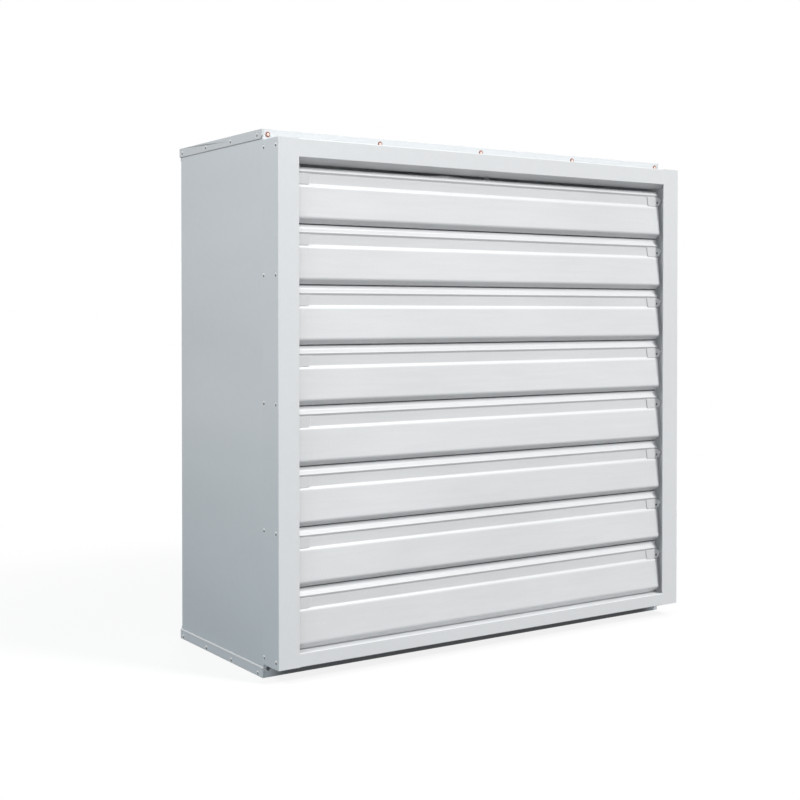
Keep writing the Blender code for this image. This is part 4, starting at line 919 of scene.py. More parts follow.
def finished(piece: Thing, body: str, finish: Finish, *replaced: str) -> None:
    """Let a finished piece ride on its body, and hide the nodes of the model that it stands for.

    Args:
        piece: The piece, in place.
        body: The body it rides on.
        finish: Its finish, whose material the piece takes when it has none.
        *replaced: Nodes of the model that it stands for.
    """
    if not piece.data.materials:
        piece.data.materials.append(finish.material())
    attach(piece, body)
    if replaced:
        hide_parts(*replaced)
    LOG.info("%s: %d faces, on %s", piece.name, len(piece.data.polygons), body)


def dress_model() -> None:
    """Give every node of the model that stays shown its finish and its rounded edges."""
    for finish, names in NODE_FINISHES:
        for name in names:
            node = frame["nodes"][name]
            for slot in node.material_slots:
                slot.material = finish.material()
            ROUNDING.add(node)
        LOG.info("%s: %d nodes dressed", finish.name, len(names))


def arc(centre: Flat, radius: float, start: float, end: float, steps: int) -> list[Flat]:
    """Points along a part of a circle.

    Args:
        centre: The circle's centre.
        radius: Its radius.
        start: The first point's angle.
        end: The last one's.
        steps: How many steps lie between them.

    Returns:
        The points.
    """
    turns = [start + (end - start) * i / steps for i in range(steps + 1)]
    return [(centre[0] + radius * math.cos(t), centre[1] + radius * math.sin(t)) for t in turns]


def plate_with_pin(
    outline: Sequence[Point], depth: Point, pin: Point, radius: float, length: float,
) -> bmesh.types.BMesh:
    """A plate with a round pin that runs along X.

    Args:
        outline: The plate's corners.
        depth: How far, and which way, the outline is drawn out.
        pin: The pin's middle.
        radius: The pin's radius.
        length: The pin's length.

    Returns:
        The shape.
    """
    shape = bmesh.new()
    face = shape.faces.new([shape.verts.new(corner) for corner in outline])
    grown = bmesh.ops.extrude_face_region(shape, geom=[face])
    moved = [v for v in grown["geom"] if isinstance(v, bmesh.types.BMVert)]
    bmesh.ops.translate(shape, vec=depth, verts=moved)
    turn = Matrix.Translation(pin) @ Matrix.Rotation(QUARTER, 4, "Y")
    size = {"segments": PIN_SEGMENTS, "radius1": radius, "radius2": radius, "depth": length}
    bmesh.ops.create_cone(shape, cap_ends=True, matrix=turn, **size)
    return shape


# Fasteners


class Head(Enum):
    """Fastener heads: head radius and height, sides, dome, washer radius and height, pit share and depth."""

    BLIND_RIVET = (0.0038, 0.00085, 20, 0.80, 0.0, 0.0001, 0.90, 0.0004)
    RIVET_CORE = (0.0025, 0.0003, 16, 0.60, 0.0, 0.0001, 0.50, 0.0001)
    INSERT_RIM = (0.0051, 0.0007, 24, 0.25, 0.0, 0.0001, 0.60, 0.0006)
    INSERT_CORE = (0.0030, 0.0006, 18, 0.60, 0.0, 0.0001, 0.50, 0.0001)
    GREASE_NIPPLE = (0.0030, 0.0062, 12, 0.60, 0.0045, 0.0026, 0.40, 0.0006)
    FLAT_RIVET = (0.0036, 0.0009, 18, 0.75, 0.0, 0.0001, 0.60, 0.0003)
    PAN_SCREW = (0.0042, 0.0028, 18, 0.55, 0.0058, 0.0008, 0.55, 0.0014)
    SMALL_BOLT = (0.0060, 0.0042, 6, 0.0, 0.0085, 0.0014, 0.80, 0.0003)
    HUB_BOLT = (0.0085, 0.0062, 6, 0.0, 0.0120, 0.0018, 0.82, 0.0004)
    SOCKET_SCREW = (0.0050, 0.0048, 20, 0.05, 0.0, 0.0001, 0.55, 0.0030)
    PIN_END = (0.0023, 0.0007, 14, 0.70, 0.0, 0.0001, 0.50, 0.0003)
    PUSH_CLIP = (0.0036, 0.0010, 16, 0.80, 0.0055, 0.0005, 0.60, 0.0004)

    def inputs(self) -> dict[str, Any]:
        """The tree's inputs for this head, by name."""
        shape = ("Head Radius", "Head Height", "Sides", "Dome")
        rest = ("Washer Radius", "Washer Height", "Pit Share", "Pit Depth")
        return dict(zip(shape + rest, self.value))


@dataclass
class FastenerSet:
    """Fasteners of one kind on one body, made as one mesh."""

    name: str
    head: Head
    seed: int
    finish: Finish = FINE_ZINC
    body: str = "housing"

    def build(self, places: Sequence[Point], facing: Point | Sequence[Point]) -> None:
        """Make the fasteners.

        Args:
            places: Where each head sits.
            facing: The direction that all face, or one for each.
        """
        facings = [facing] * len(places) if isinstance(facing[0], float) else facing
        cloud = Mesh.points(self.name, places)
        attribute = cloud.data.attributes.new("facing", "FLOAT_VECTOR", "POINT")
        attribute.data.foreach_set("vector", [c for direction in facings for c in direction])
        values = {**self.head.inputs(), "Seed": self.seed, "Finish": self.finish.material()}
        finished(Mesh.grow(cloud, Trees.heads, values), self.body, self.finish)


def ring_places(centre: Point, radius: float, count: int, start: float = 0.0) -> list[Point]:
    """Points round a circle that faces along Y.

    Args:
        centre: The circle's centre.
        radius: Its radius.
        count: How many points.
        start: The first one's angle from +Z, in degrees.

    Returns:
        The points.
    """
    x, y, z = centre
    turns = [math.radians(start) + 2 * math.pi * i / count for i in range(count)]
    return [(x + radius * math.sin(t), y, z + radius * math.cos(t)) for t in turns]


@dataclass(frozen=True)
class RivetField:
    """Rows of flush rivets on one node of the model, facing along X."""

    node: str
    start: Point
    step: Point
    count: int
    row_step: Point
    rows: int = 2

    def places(self) -> list[Point]:
        """Where the rivets sit, row by row."""
        start, step, row_step = Vector(self.start), Vector(self.step), Vector(self.row_step)
        return [tuple(start + step * i + row_step * j) for j in range(self.rows) for i in range(self.count)]

    def press(self, radius: float, depth: float) -> None:
        """Press the seats into the node, as a modifier."""
        Mesh.add_tree(frame["nodes"][self.node], Trees.seats, {
            "Start": self.start,
            "Step": self.step,
            "Count": self.count,
            "Row Step": self.row_step,
            "Rows": self.rows,
            "Seat Radius": radius,
            "Seat Depth": depth,
        })


@dataclass
class HousingFasteners:
    """Rivets, inserts and screws of the sheet-metal box and the shutter frame."""

    tray_first_y: float = -0.1265
    tray_pitch: float = 0.1077
    tray_count: int = 4
    tray_inset_top: float = 0.0088
    tray_inset_bottom: float = 0.0062
    skirt_first_z: float = 0.0397
    skirt_pitch: float = 0.23168
    skirt_count: int = 5
    skirt_first_y: float = -0.1517
    skirt_row: float = -0.0448
    seat_radius: float = 0.0050
    seat_depth: float = 0.0010
    head_sink: float = 0.0010
    core_sink: float = 0.00042
    # Each rivet's dark core sits off-centre, to the front and down: it stands for the rivet's hole and for a painted
    # shadow below the domed head.
    core_shadow_shift: Flat = (-0.0011, -0.0017)
    hole_xs: tuple[float, ...] = (-0.488, -0.244, 0.0, 0.244, 0.488)
    hole_z: float = 0.9900
    insert_shift: float = 0.0010
    insert_lift: float = 0.0002
    plate_inset: float = 0.014
    plate_count: int = 6
    plate_gap: float = 0.0008

    def fields(self) -> list[RivetField]:
        """The rivet rows of the two trays and the two stiles."""
        low, high = CAD_BOX
        across = (high.x - low.x, 0.0, 0.0)
        along = (0.0, self.tray_pitch, 0.0)
        trays = (("top_panel", high.z - self.tray_inset_top), ("bottom_panel", low.z + self.tray_inset_bottom))
        stiles = (("left_stile", low.x), ("right_stile", high.x))
        up, forward = (0.0, 0.0, self.skirt_pitch), (0.0, self.skirt_row, 0.0)
        start = (self.skirt_first_y, self.skirt_first_z)
        return [
            *(RivetField(node, (low.x, self.tray_first_y, z), along, self.tray_count, across) for node, z in trays),
            *(RivetField(node, (x, *start), up, self.skirt_count, forward) for node, x in stiles),
        ]

    def press(self) -> None:
        """Press the rivet seats; this comes before the nodes are dressed."""
        for field in self.fields():
            field.press(self.seat_radius, self.seat_depth)

    def build(self) -> None:
        """Make the rivets, the inserts of the fixing holes and the screws of the orifice plate."""
        lift = self.head_sink - self.core_sink
        aside, down = self.core_shadow_shift
        for number, field in enumerate(self.fields()):
            sides = [math.copysign(1.0, place[0]) for place in field.places()]
            places = [(x - side * self.head_sink, y, z) for (x, y, z), side in zip(field.places(), sides)]
            facings = [(side, 0.0, 0.0) for side in sides]
            rivets = FastenerSet(f"{field.node}_rivets", Head.BLIND_RIVET, 11 + number, RIVET_METAL)
            rivets.build(places, facings)
            # The dark cores, shifted off-centre: the rivets' holes, with a painted shadow below each head.
            middles = [(x + side * lift, y + aside, z + down) for (x, y, z), side in zip(places, sides)]
            cores = FastenerSet(f"{field.node}_rivet_cores", Head.RIVET_CORE, 33 + number, PIN_STEEL)
            cores.build(middles, facings)
        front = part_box("top_panel")[0].y
        holes = [(x, front, self.hole_z) for x in self.hole_xs]
        FastenerSet("insert_rims", Head.INSERT_RIM, 31, INSERT_RIM).build(holes, TO_FRONT)
        cores = [(x + self.insert_shift, y - self.insert_lift, z) for x, y, z in holes]
        FastenerSet("insert_cores", Head.INSERT_CORE, 32, INSERT_CORE).build(cores, TO_FRONT)
        self.plate_screws()

    def plate_screws(self) -> None:
        """Make the screws round the back of the orifice plate."""
        plate_low, plate_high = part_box("orifice_plate")
        back_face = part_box("left_support_beam")[0].y - self.plate_gap
        reach_x = plate_high.x - self.plate_inset
        low_z, high_z = plate_low.z + self.plate_inset, plate_high.z - self.plate_inset
        shares = [i / (self.plate_count - 1) for i in range(self.plate_count)]
        places = [(-reach_x + 2 * reach_x * s, back_face, z) for s in shares for z in (low_z, high_z)]
        places += [(x, back_face, low_z + (high_z - low_z) * s) for s in shares[1:-1] for x in (-reach_x, reach_x)]
        FastenerSet("orifice_screws", Head.PAN_SCREW, 15).build(places, TO_BACK)


@dataclass
class TrayHems:
    """The near-white hems along the top of the lower tray's side flanges: a painted highlight on their lit top
    edges.
    """

    height: float = 0.0028
    overlap: float = 0.0004
    sheet: float = 0.0015
    face_reach: float = 0.0002

    def build(self) -> None:
        """Make both hems as one piece, each with a slope that faces up and out."""
        low, high = CAD_BOX
        tray = frame["nodes"]["bottom_panel"].data
        outer = [v.co for v in tray.vertices if v.co.x > high.x - self.face_reach]
        top = max(c.z for c in outer)
        ends = (min(c.y for c in outer), max(c.y for c in outer))
        shape = bmesh.new()
        for side, face in zip(SIDES, (low.x, high.x)):
            inside = face - side * self.sheet
            outline = [
                (face, top - self.overlap),
                (face, top + self.height * 0.25),
                (face - side * self.sheet * 0.45, top + self.height * 0.85),
                (inside, top + self.height),
                (inside, top - self.overlap),
            ]
            first, last = ([shape.verts.new((x, y, z)) for x, z in outline] for y in ends)
            shape.faces.new(first)
            shape.faces.new(last)
            for index in range(len(outline)):
                after = (index + 1) % len(outline)
                shape.faces.new((first[index], first[after], last[after], last[index]))
        finished(Mesh.solid("tray_hems", shape), "housing", HEM_HIGHLIGHT)


@dataclass
class SeamFiller:
    """The painted filler in the four joints between the stiles and the rails."""

    inner_x: float = 0.4550
    outer_x: float = 0.4581
    depth: float = 0.0018
    sink: float = 0.00004
    spans: tuple[Flat, ...] = ((0.9467, 0.9787), (0.0269, 0.0512))

    def build(self) -> None:
        """Fill the joints on the frame's front."""
        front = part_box("top_rail")[0].y + self.sink
        shape = bmesh.new()
        for low_z, high_z in self.spans:
            for side in SIDES:
                centre = (side * (self.inner_x + self.outer_x) / 2, front + self.depth / 2, (low_z + high_z) / 2)
                scale = Matrix.Diagonal((self.outer_x - self.inner_x, self.depth, high_z - low_z, 1.0))
                bmesh.ops.create_cube(shape, size=1.0, matrix=Matrix.Translation(centre) @ scale)
        finished(Mesh.solid("joint_filler", shape), "housing", FRAME_PAINT)


# Louvres


@dataclass
class Shutter:
    """Eight rolled louvres, each with its tie lug, pin and clips' pin ends."""

    count: int = 8
    height: float = 0.107
    last_extra: float = 0.0046
    last_slope: float = 0.65
    sheet: float = 0.001
    half_length: float = 0.4545
    pivot_depth: float = 0.01715
    pivot_drop: float = 0.02425
    band_depth: float = 0.0182
    band_height: float = 0.0155
    lip_depth: float = 0.0220
    curl_depth: float = 0.0213
    fold_height: float = 0.0087
    lug_reach: float = 0.050
    lug_angle: float = math.radians(40.0)
    lug_sheet: float = 0.002
    lug_x: float = 0.0023
    lug_gap: float = 0.0004
    boss_radius: float = 0.006
    pin_radius: float = 0.0025
    pin_tail: float = 0.003
    push_clip_x: float = -0.0012
    clip_sheet: float = 0.0015
    clip_rivet_x: float = 0.4525
    clip_rivet_drop: float = 0.0042
    clip_pin: float = 0.0021
    clip_pin_shows: float = 0.0093
    clip_pin_root: float = 0.0010
    clip_above: float = 0.0077
    clip_below: float = 0.0117
    clip_corner: float = 0.0030
    clip_slant: float = 0.0026
    wave: float = 0.00022
    waves: float = 7.0
    wave_shift: float = 3.7
    blade_steps: int = 46
    edge_round: float = 0.0002
    edge_angle: float = math.radians(60.0)
    arc_steps: int = 7
    lap_rise: float = 0.0060
    lap_depth: float = 0.0040
    # How far above the blade's top edge the lip's painted-shade faces start.
    shade_rise: float = 0.0020

    def corners(self, lapped: bool, height: float) -> list[Point]:
        """The blade's outline: depth from the frame's front, drop from the top edge, and fold radius.

        Args:
            lapped: Whether the top edge has a lip that stands up behind the blade above.
            height: The blade's height.

        Returns:
            The outline's corners, from the top down.
        """
        lip = [(self.lip_depth + self.lap_depth, -self.lap_rise, 0.0), (self.lip_depth, 0.0, 0.0020)]
        return [
            *(lip if lapped else []),
            (self.curl_depth, 0.0050, 0.0080 if lapped else 0.0),
            (0.0155, 0.0125, 0.0016),
            (self.band_depth, 0.0165, 0.0016),
            (self.band_depth, 0.0352, 0.0050),
            (0.0150, 0.0398, 0.0110),
            (0.0093, self.height - self.fold_height, 0.0070),
            (self.lip_depth + self.last_slope * (height - self.height), height, 0.0),
        ]

    def outline(self, lapped: bool, height: float) -> list[Flat]:
        """Depth and drop of points along the outline, with each fold drawn as an arc.

        Args:
            lapped: Whether the top edge has its lip.
            height: The blade's height.

        Returns:
            The points.
        """
        corners = self.corners(lapped, height)
        points: list[Flat] = []
        for index, (depth, drop, radius) in enumerate(corners):
            if not radius:
                points.append((depth, drop))
                continue
            here = Vector((depth, drop))
            before = Vector(corners[index - 1][:2]) - here
            after = Vector(corners[index + 1][:2]) - here
            bend = before.angle(after)
            reach = radius / math.tan(bend / 2)
            start = here + before.normalized() * reach
            end = here + after.normalized() * reach
            middle = (before.normalized() + after.normalized()).normalized()
            centre = here + middle * (radius / math.sin(bend / 2))
            sweep = (start - centre).angle_signed(end - centre)
            for step in range(self.arc_steps + 1):
                spoke = start - centre
                spoke.rotate(Matrix.Rotation(-sweep * step / self.arc_steps, 2))
                points.append(tuple(centre + spoke))
        return self.with_flats_split(points)

    @staticmethod
    def with_flats_split(points: Sequence[Flat], margin: float = 0.0012) -> list[Flat]:
        """Add a point near each end of every long flat, so that the flats are shaded flat.

        Args:
            points: The outline.
            margin: How far from the end the points lie.

        Returns:
            The outline with the points added.
        """
        made = [points[0]]
        for first, second in zip(points, points[1:]):
            a, b = Vector(first), Vector(second)
            if (b - a).length > 4 * margin:
                step = (b - a).normalized() * margin
                made += [tuple(a + step), tuple(b - step)]
            made.append(second)
        return made

    def blade(self, front: float, top: float, number: int) -> Thing:
        """Make one blade, with near-black faces on its lip: painted shade under the fold of the blade above.

        Args:
            front: Y of the frame's front.
            top: Z of the blade's top edge.
            number: The louvre's number, which also picks its waves.

        Returns:
            The blade as an object at the origin.
        """
        height = self.height + (self.last_extra if number == self.count else 0.0)
        outline = self.outline(number > 1, height)
        blade = Mesh.points("outline", [(0.0, front + depth, top - drop) for depth, drop in outline])
        Mesh.grow(blade, Trees.blade, {
            "Outline Points": len(outline),
            "Steps": self.blade_steps,
            "Half Length": self.half_length,
            "Wave Height": self.wave,
            "Waves per Metre": self.waves,
            "Seed": self.wave_shift * number,
            "Finish": LOUVRE_PAINT.material(),
        })
        shape = bmesh.new()
        shape.from_mesh(blade.data)
        bmesh.ops.recalc_face_normals(shape, faces=shape.faces)
        lead = max(shape.faces, key=lambda face: face.calc_area())
        if lead.normal.y > 0:
            bmesh.ops.reverse_faces(shape, faces=shape.faces)
        shape.to_mesh(blade.data)
        shape.free()
        wall = blade.modifiers.new("wall", "SOLIDIFY")
        wall.thickness = self.sheet
        wall.offset = -1.0
        wall.use_even_offset = True
        edge = blade.modifiers.new("edge", "BEVEL")
        edge.width = self.edge_round
        edge.segments = 2
        edge.limit_method = "ANGLE"
        edge.angle_limit = self.edge_angle
        Mesh.apply(blade)
        # Painted shade: the lip's faces that stand higher above the top edge, behind the fold of the blade above,
        # take the near-black material.
        blade.data.materials.append(LAP_SHADE.material())
        for face in blade.data.polygons:
            if number > 1 and face.center.z > top + self.shade_rise:
                face.material_index = len(blade.data.materials) - 1
        return blade

    def lug(self, pivot: Point) -> bmesh.types.BMesh:
        """The tie lug behind one blade, and the pin through its boss."""
        _, y, z = pivot
        boss = (self.lug_reach * math.cos(self.lug_angle), self.lug_reach * math.sin(self.lug_angle))
        back = self.band_depth + self.sheet - self.pivot_depth - self.lug_gap
        rise = self.band_height / 2 - self.sheet
        rim = arc(boss, self.boss_radius, self.lug_angle - QUARTER, self.lug_angle + QUARTER, 12)
        x = self.lug_x - self.lug_sheet / 2
        outline = [(x, y + a, z + b) for a, b in ((back, -rise), *rim, (back, rise))]
        pin = ((self.lug_x - self.pin_tail) / 2, y + boss[0], z + boss[1])
        return plate_with_pin(outline, (self.lug_sheet, 0.0, 0.0), pin, self.pin_radius, self.pin_tail + self.lug_x)

    def clip(self, node: str, side: float, pivot: Point) -> bmesh.types.BMesh:
        """Make one pivot clip: a plate with a round outer end, welded to the pin that it turns on.

        Args:
            node: The clip's node in the model.
            side: -1 at the left, 1 at the right.
            pivot: The louvre's pivot.

        Returns:
            The clip's shape.
        """
        low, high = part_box(node)
        inner, pin_end = sorted((abs(low.x), abs(high.x)))
        tip = pin_end - self.clip_pin_shows
        half = (self.clip_above + self.clip_below) / 2
        corner = (inner + self.clip_slant + self.clip_corner, self.clip_corner - self.clip_below)
        outline = [
            *arc((tip - half, (self.clip_above - self.clip_below) / 2), half, QUARTER, -QUARTER, 10),
            *arc(corner, self.clip_corner, -QUARTER, -math.pi, 5),
            (inner, self.clip_above),
        ]
        places = [(side * x, pivot[1] - self.clip_sheet / 2, pivot[2] + z) for x, z in outline]
        start = tip - self.clip_pin_root
        pin = (side * (start + pin_end) / 2, pivot[1], pivot[2])
        return plate_with_pin(places, (0.0, self.clip_sheet, 0.0), pin, self.clip_pin, pin_end - start)

    @staticmethod
    def add_plate(name: str, shape: bmesh.types.BMesh, body: str, finish: Finish, *replaced: str) -> None:
        """Round a plate's edges and let it ride on its louvre.

        Args:
            name: The piece's name.
            shape: The plate.
            body: The louvre's body.
            finish: The plate's finish.
            *replaced: Nodes of the model that it stands for.
        """
        plate = Mesh.solid(name, shape)
        plate.data.materials.append(finish.material())
        ROUNDING.add(plate)
        Mesh.apply(plate)
        finished(plate, body, finish, *replaced)

    def heads(self, body: str, pivot: Point, number: int) -> None:
        """Add the rivets that hold one louvre's clips, and the push clip on its tie pin.

        Args:
            body: The louvre's body.
            pivot: Its pivot.
            number: The louvre's number.
        """
        _, y, z = pivot
        places = [(side * self.clip_rivet_x, y - self.clip_sheet / 2, z - self.clip_rivet_drop) for side in SIDES]
        FastenerSet(f"{body}_clip_rivets", Head.PIN_END, 20 + number, PIN_STEEL, body).build(places, TO_FRONT)
        boss_y = y + self.lug_reach * math.cos(self.lug_angle)
        boss_z = z + self.lug_reach * math.sin(self.lug_angle)
        push = FastenerSet(f"{body}_push_clip", Head.PUSH_CLIP, 40 + number, FINE_ZINC, body)
        push.build([(self.push_clip_x, boss_y, boss_z)], TO_LEFT)

    def build(self) -> None:
        """Make every louvre."""
        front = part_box("left_stile")[0].y
        swings = [j for j in frame["joints"] if j["child"].startswith("louvre_")]
        for number, joint in enumerate(swings, 1):
            body = joint["child"]
            pivot = tuple(joint["pos_m"])
            blade = self.blade(front, pivot[2] + self.pivot_drop, number)
            blade.name = f"{body}_blade"
            finished(blade, body, LOUVRE_PAINT, body)
            self.add_plate(f"{body}_tie_lug", self.lug(pivot), body, LOUVRE_PAINT)
            for side, node in zip(SIDES, (f"{body}_left_clip", f"{body}_right_clip")):
                self.add_plate(f"{node}_plate", self.clip(node, side, pivot), body, CLIP_PAINT, node)
            self.heads(body, pivot, number)


# Inlet guard, impeller, bearings and motor


@dataclass
class InletGuard:
    """The welded wire net inside the back of the box, with its rim and the rivets beside it."""

    cells: int = 12
    wire_radius: float = 0.0015
    layer_step: float = 0.0026
    rim_inset: float = 0.010
    back_share: float = 1.4
    rivet_inset: float = 0.0115
    rivet_shares: tuple[float, ...] = (0.06, 0.28, 0.5, 0.72, 0.94)

    def build(self) -> None:
        """Make the net and the rivets that hold it to the rear flanges."""
        low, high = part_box("inlet_guard")
        values = {
            "Half Width": (high.x - low.x) / 2 - self.rim_inset / 2,
            "Half Height": (high.z - low.z) / 2 - self.rim_inset / 2,
            "Cells": self.cells,
            "Wire Radius": self.wire_radius,
            "Layer Step": self.layer_step,
            "Centre": ((low.x + high.x) / 2, high.y - self.wire_radius * self.back_share, (low.z + high.z) / 2),
            "Finish": ZINC.material(),
        }
        finished(Mesh.grow(Mesh.link("guard_net"), Trees.net, values), "housing", ZINC, "inlet_guard")
        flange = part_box("left_side_panel")[1]
        heights = [low.z + (high.z - low.z) * share for share in self.rivet_shares]
        places = [(side * (-flange.x + self.rivet_inset), flange.y, z) for side in SIDES for z in heights]
        FastenerSet("guard_rivets", Head.FLAT_RIVET, 61, RIVET_METAL).build(places, TO_BACK)


@dataclass
class DriveDetails:
    """Bolts and screws of the impeller, the bearings and the motor, and the cowl's grille."""

    hub_bolt_ring: float = 0.074
    hub_bolts: int = 12
    bearing_bolt_ring: float = 0.0455
    bearing_bolts: int = 4
    bearing_flange: float = 0.0133
    bridge_sheet: float = 0.005
    bridge_bolt_x: float = 0.130
    bridge_bolt_z: float = 0.05
    foot_bolt_x: float = 0.054
    foot_bolt_ys: Flat = (0.098, 0.145)
    foot_height: float = 0.010
    cowl_screw_ring: float = 0.0555
    lid_inset: float = 0.009
    nipple_share: float = 0.75
    nipple_sink: float = 0.0002
    barrel_end: float = 0.002
    grille_rings: int = 6
    grille_first: float = 0.010
    grille_step: float = 0.0072
    grille_ribs: int = 10
    grille_wire: float = 0.0011
    grille_lift: float = 0.0012
    intake_radius: float = 0.0475
    intake_taper: float = 0.0004
    intake_depth: float = 0.0006
    intake_lift: float = 0.0002
    intake_segments: int = 48

    def build(self) -> None:
        """Make all the fasteners, the intake and its grille."""
        clamp_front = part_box("blade_clamp_plate")[0].y
        hub = ring_places((0.0, clamp_front, SHAFT_Z), self.hub_bolt_ring, self.hub_bolts, 15.0)
        FastenerSet("hub_bolts", Head.HUB_BOLT, 15, body="impeller").build(hub, TO_FRONT)
        screw = (0.0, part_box("fan_shaft")[0].y, SHAFT_Z)
        FastenerSet("shaft_screw", Head.SOCKET_SCREW, 16, body="impeller").build([screw], TO_FRONT)
        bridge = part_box("bearing_bridge")[0].y
        centre = (0.0, bridge + self.bearing_flange, SHAFT_Z)
        ring = ring_places(centre, self.bearing_bolt_ring, self.bearing_bolts, 45.0)
        FastenerSet("bearing_bolts", Head.SMALL_BOLT, 17).build(ring, TO_BACK)
        reach, rise, face = self.bridge_bolt_x, self.bridge_bolt_z, bridge + self.bridge_sheet
        across = [(x, face, SHAFT_Z + z) for x in (-reach, reach) for z in (-rise, rise)]
        FastenerSet("bridge_bolts", Head.SMALL_BOLT, 18).build(across, TO_BACK)
        low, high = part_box("bearing_housing")
        nipple = (0.0, low.y + (high.y - low.y) * self.nipple_share, self.barrel_top())
        FastenerSet("grease_nipple", Head.GREASE_NIPPLE, 53).build([nipple], TO_TOP)
        self.motor()
        self.grille()

    def barrel_top(self) -> float:
        """The height of the top of the bearing housing's rear barrel, above the shaft."""
        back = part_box("bearing_housing")[1].y
        corners = [v.co for v in frame["nodes"]["bearing_housing"].data.vertices]
        return max(c.z for c in corners if c.y > back - self.barrel_end) - self.nipple_sink

    def motor(self) -> None:
        """Make the motor's foot bolts, cowl screws and lid screws."""
        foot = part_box("motor_body")[0].z + self.foot_height
        feet = [(side * self.foot_bolt_x, y, foot) for side in SIDES for y in self.foot_bolt_ys]
        FastenerSet("foot_bolts", Head.SMALL_BOLT, 19).build(feet, TO_TOP)
        cowl = ring_places((0.0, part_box("motor_fan_cowl")[1].y, MOTOR_Z), self.cowl_screw_ring, 4, 45.0)
        FastenerSet("cowl_screws", Head.PAN_SCREW, 51).build(cowl, TO_BACK)
        low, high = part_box("terminal_box")
        xs = (low.x + self.lid_inset, high.x - self.lid_inset)
        ys = (low.y + self.lid_inset, high.y - self.lid_inset)
        FastenerSet("lid_screws", Head.PAN_SCREW, 52).build([(x, y, high.z) for x in xs for y in ys], TO_TOP)

    def grille(self) -> None:
        """Make the intake of the motor's fan cowl, a near-black disc of painted shade behind the grille, and the
        grille over it.
        """
        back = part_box("motor_fan_cowl")[1].y
        shape = bmesh.new()
        place = Matrix.Translation((0.0, back + self.intake_lift, MOTOR_Z)) @ Matrix.Rotation(-QUARTER, 4, "X")
        size = {"radius1": self.intake_radius, "radius2": self.intake_radius - self.intake_taper}
        size.update(segments=self.intake_segments, depth=self.intake_depth)
        bmesh.ops.create_cone(shape, cap_ends=True, matrix=place, **size)
        finished(Mesh.solid("cowl_intake", shape), "housing", INTAKE_SHADE)
        values = {
            "Rings": self.grille_rings,
            "First Radius": self.grille_first,
            "Ring Step": self.grille_step,
            "Ribs": self.grille_ribs,
            "Wire Radius": self.grille_wire,
            "Centre": (0.0, back + self.grille_lift, MOTOR_Z),
            "Finish": MOTOR_BLUE.material(),
        }
        finished(Mesh.grow(Mesh.link("cowl_grille"), Trees.grille, values), "housing", MOTOR_BLUE)


# Studio


@dataclass(frozen=True)
class SoftLamp:
    """A large soft lamp that points at a place."""

    name: str
    place: Point
    aim: Point
    size: float
    power: float
    colour: Colour = WHITE

    def build(self) -> None:
        """Add the lamp."""
        light = bpy.data.lights.new(self.name, "AREA")
        light.shape = "DISK"
        light.size = self.size
        light.energy = self.power
        light.color = self.colour
        lamp = bpy.data.objects.new(self.name, light)
        bpy.context.scene.collection.objects.link(lamp)
        lamp.location = self.place
        lamp.rotation_euler = (Vector(self.aim) - Vector(self.place)).to_track_quat("-Z", "Y").to_euler()


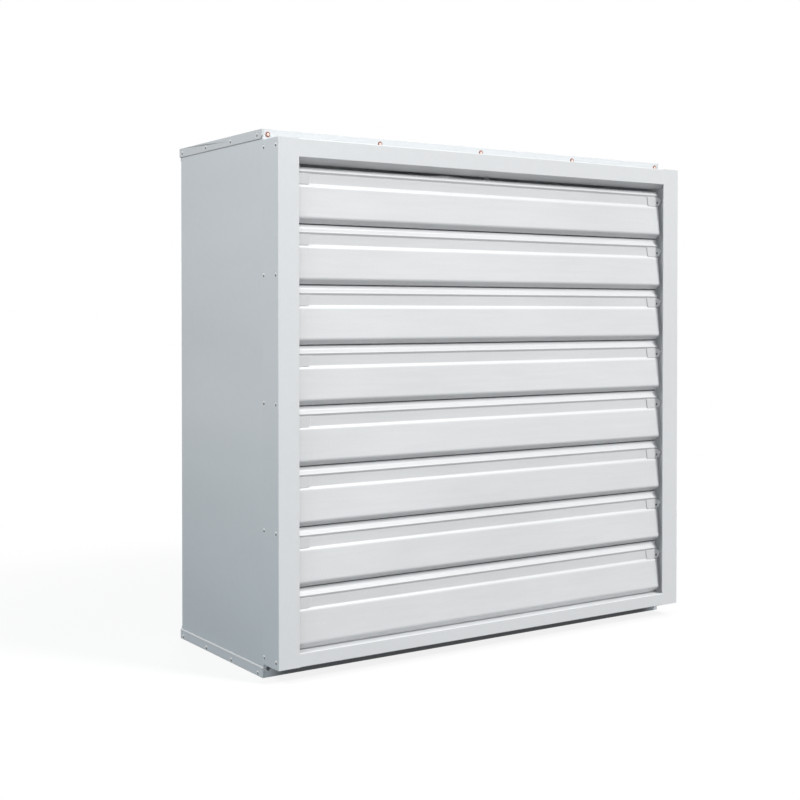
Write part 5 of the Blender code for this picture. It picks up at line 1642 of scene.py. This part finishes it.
@dataclass
class Studio:
    """The camera, the lamps, the pale floor and the white surround."""

    camera_place: Point = (-1.6211, -2.2479, 0.6651)
    camera_tilt: float = math.radians(90.0 - 0.886)
    camera_turn: float = math.radians(-33.62)
    lens: float = 58.73
    shift_x: float = 0.0144
    shift_y: float = -0.0830
    ambient: float = 0.42
    ambient_colour: Colour = (0.90, 0.96, 1.0)
    floor_half: float = 12.0
    floor_drop: float = 0.0005
    floor_shown: float = 0.92
    floor_bounce: float = 0.18
    lamps: tuple[SoftLamp, ...] = (
        SoftLamp("key", (3.3, -6.0, 6.9), (0.0, -0.2, 0.55), 1.9, 675.0, (1.0, 0.99, 0.975)),
        SoftLamp("left_side", (-2.3, -0.55, 2.7), (-0.3, -0.1, 0.6), 1.2, 34.0, (0.96, 0.985, 1.0)),
        SoftLamp("front_fill", (-2.6, -3.4, 0.5), (0.0, -0.1, 0.5), 1.6, 26.0, (0.96, 0.985, 1.0)),
        SoftLamp("rear_fill", (1.6, 3.8, 1.3), (0.0, 0.2, 0.5), 2.0, 70.0),
    )

    def build(self) -> None:
        """Add everything."""
        self.add_camera()
        for lamp in self.lamps:
            lamp.build()
        self.add_surround()
        self.add_floor()
        bpy.context.scene.view_settings.view_transform = "Standard"
        LOG.info("studio: camera, %d lamps, floor", len(self.lamps))

    def add_camera(self) -> None:
        """Add the camera at the photograph's viewing angle."""
        data = bpy.data.cameras.new("camera")
        data.lens = self.lens
        data.sensor_width = 36.0
        data.shift_x = self.shift_x
        data.shift_y = self.shift_y
        camera = bpy.data.objects.new("camera", data)
        bpy.context.scene.collection.objects.link(camera)
        camera.location = self.camera_place
        camera.rotation_euler = (self.camera_tilt, 0.0, self.camera_turn)
        bpy.context.scene.camera = camera

    @staticmethod
    def seen_share(graph: Graph) -> Wire:
        """1 for rays that show the surround itself, straight or in gloss or glass, and 0 for its light."""
        path = graph.node("ShaderNodeLightPath").outputs
        shown = graph.math("MAXIMUM", path["Is Camera Ray"], path["Is Glossy Ray"])
        return graph.math("MAXIMUM", shown, path["Is Transmission Ray"])

    def add_surround(self) -> None:
        """Make the world white to look at, and dimmer as a light."""
        world = bpy.data.worlds.new("surround")
        world.use_nodes = True
        bpy.context.scene.world = world
        graph = Graph(world.node_tree)
        graph.tree.nodes.clear()
        light = graph.out("ShaderNodeBackground", {"Color": rgba(self.ambient_colour), "Strength": self.ambient})
        white = graph.out("ShaderNodeBackground", {"Color": rgba(WHITE), "Strength": 1.0})
        both = graph.out("ShaderNodeMixShader", {0: self.seen_share(graph), 1: light, 2: white})
        graph.node("ShaderNodeOutputWorld", {0: both})

    def add_floor(self) -> None:
        """Add the floor, pale near the object and white further out, with the object's shadow."""
        material = bpy.data.materials.new("studio_floor")
        material.use_nodes = True
        graph = Graph(material.node_tree)
        graph.tree.nodes.clear()
        place = graph.out("ShaderNodeTexCoord", output="Object")
        straight = graph.out("ShaderNodeLightPath", output="Is Camera Ray")
        level = straight * (self.floor_shown - self.floor_bounce) + self.floor_bounce
        tone = (graph.noise(place, 60.0) - 0.5) * 0.01 + level
        colour = graph.out("ShaderNodeCombineColor", {0: tone, 1: tone, 2: tone})
        matt = graph.out("ShaderNodeBsdfDiffuse", {"Color": colour})
        white = graph.out("ShaderNodeEmission", {"Strength": 1.0})
        faded = graph.spread(graph.vector("LENGTH", place, output="Value"), 0.7, 1.8, 0.84, 1.0)
        both = graph.out("ShaderNodeMixShader", {0: faded * self.seen_share(graph), 1: matt, 2: white})
        graph.node("ShaderNodeOutputMaterial", {0: both})
        half = self.floor_half
        low = CAD_BOX[0].z - self.floor_drop
        mesh = bpy.data.meshes.new("studio_floor")
        corners = [(-half, -half, low), (half, -half, low), (half, half, low), (-half, half, low)]
        mesh.from_pydata(corners, [], [(0, 1, 2, 3)])
        mesh.materials.append(material)
        floor = Mesh.link("studio_floor", mesh)


def main() -> None:
    """Build the studio and dress the fan, one sub-assembly after another."""
    logging.basicConfig(level=logging.INFO, format="%(name)s %(message)s")
    Studio().build()
    fasteners = HousingFasteners()
    fasteners.press()
    dress_model()
    Shutter().build()
    fasteners.build()
    TrayHems().build()
    SeamFiller().build()
    InletGuard().build()
    DriveDetails().build()


if __name__ == "__main__":
    main()
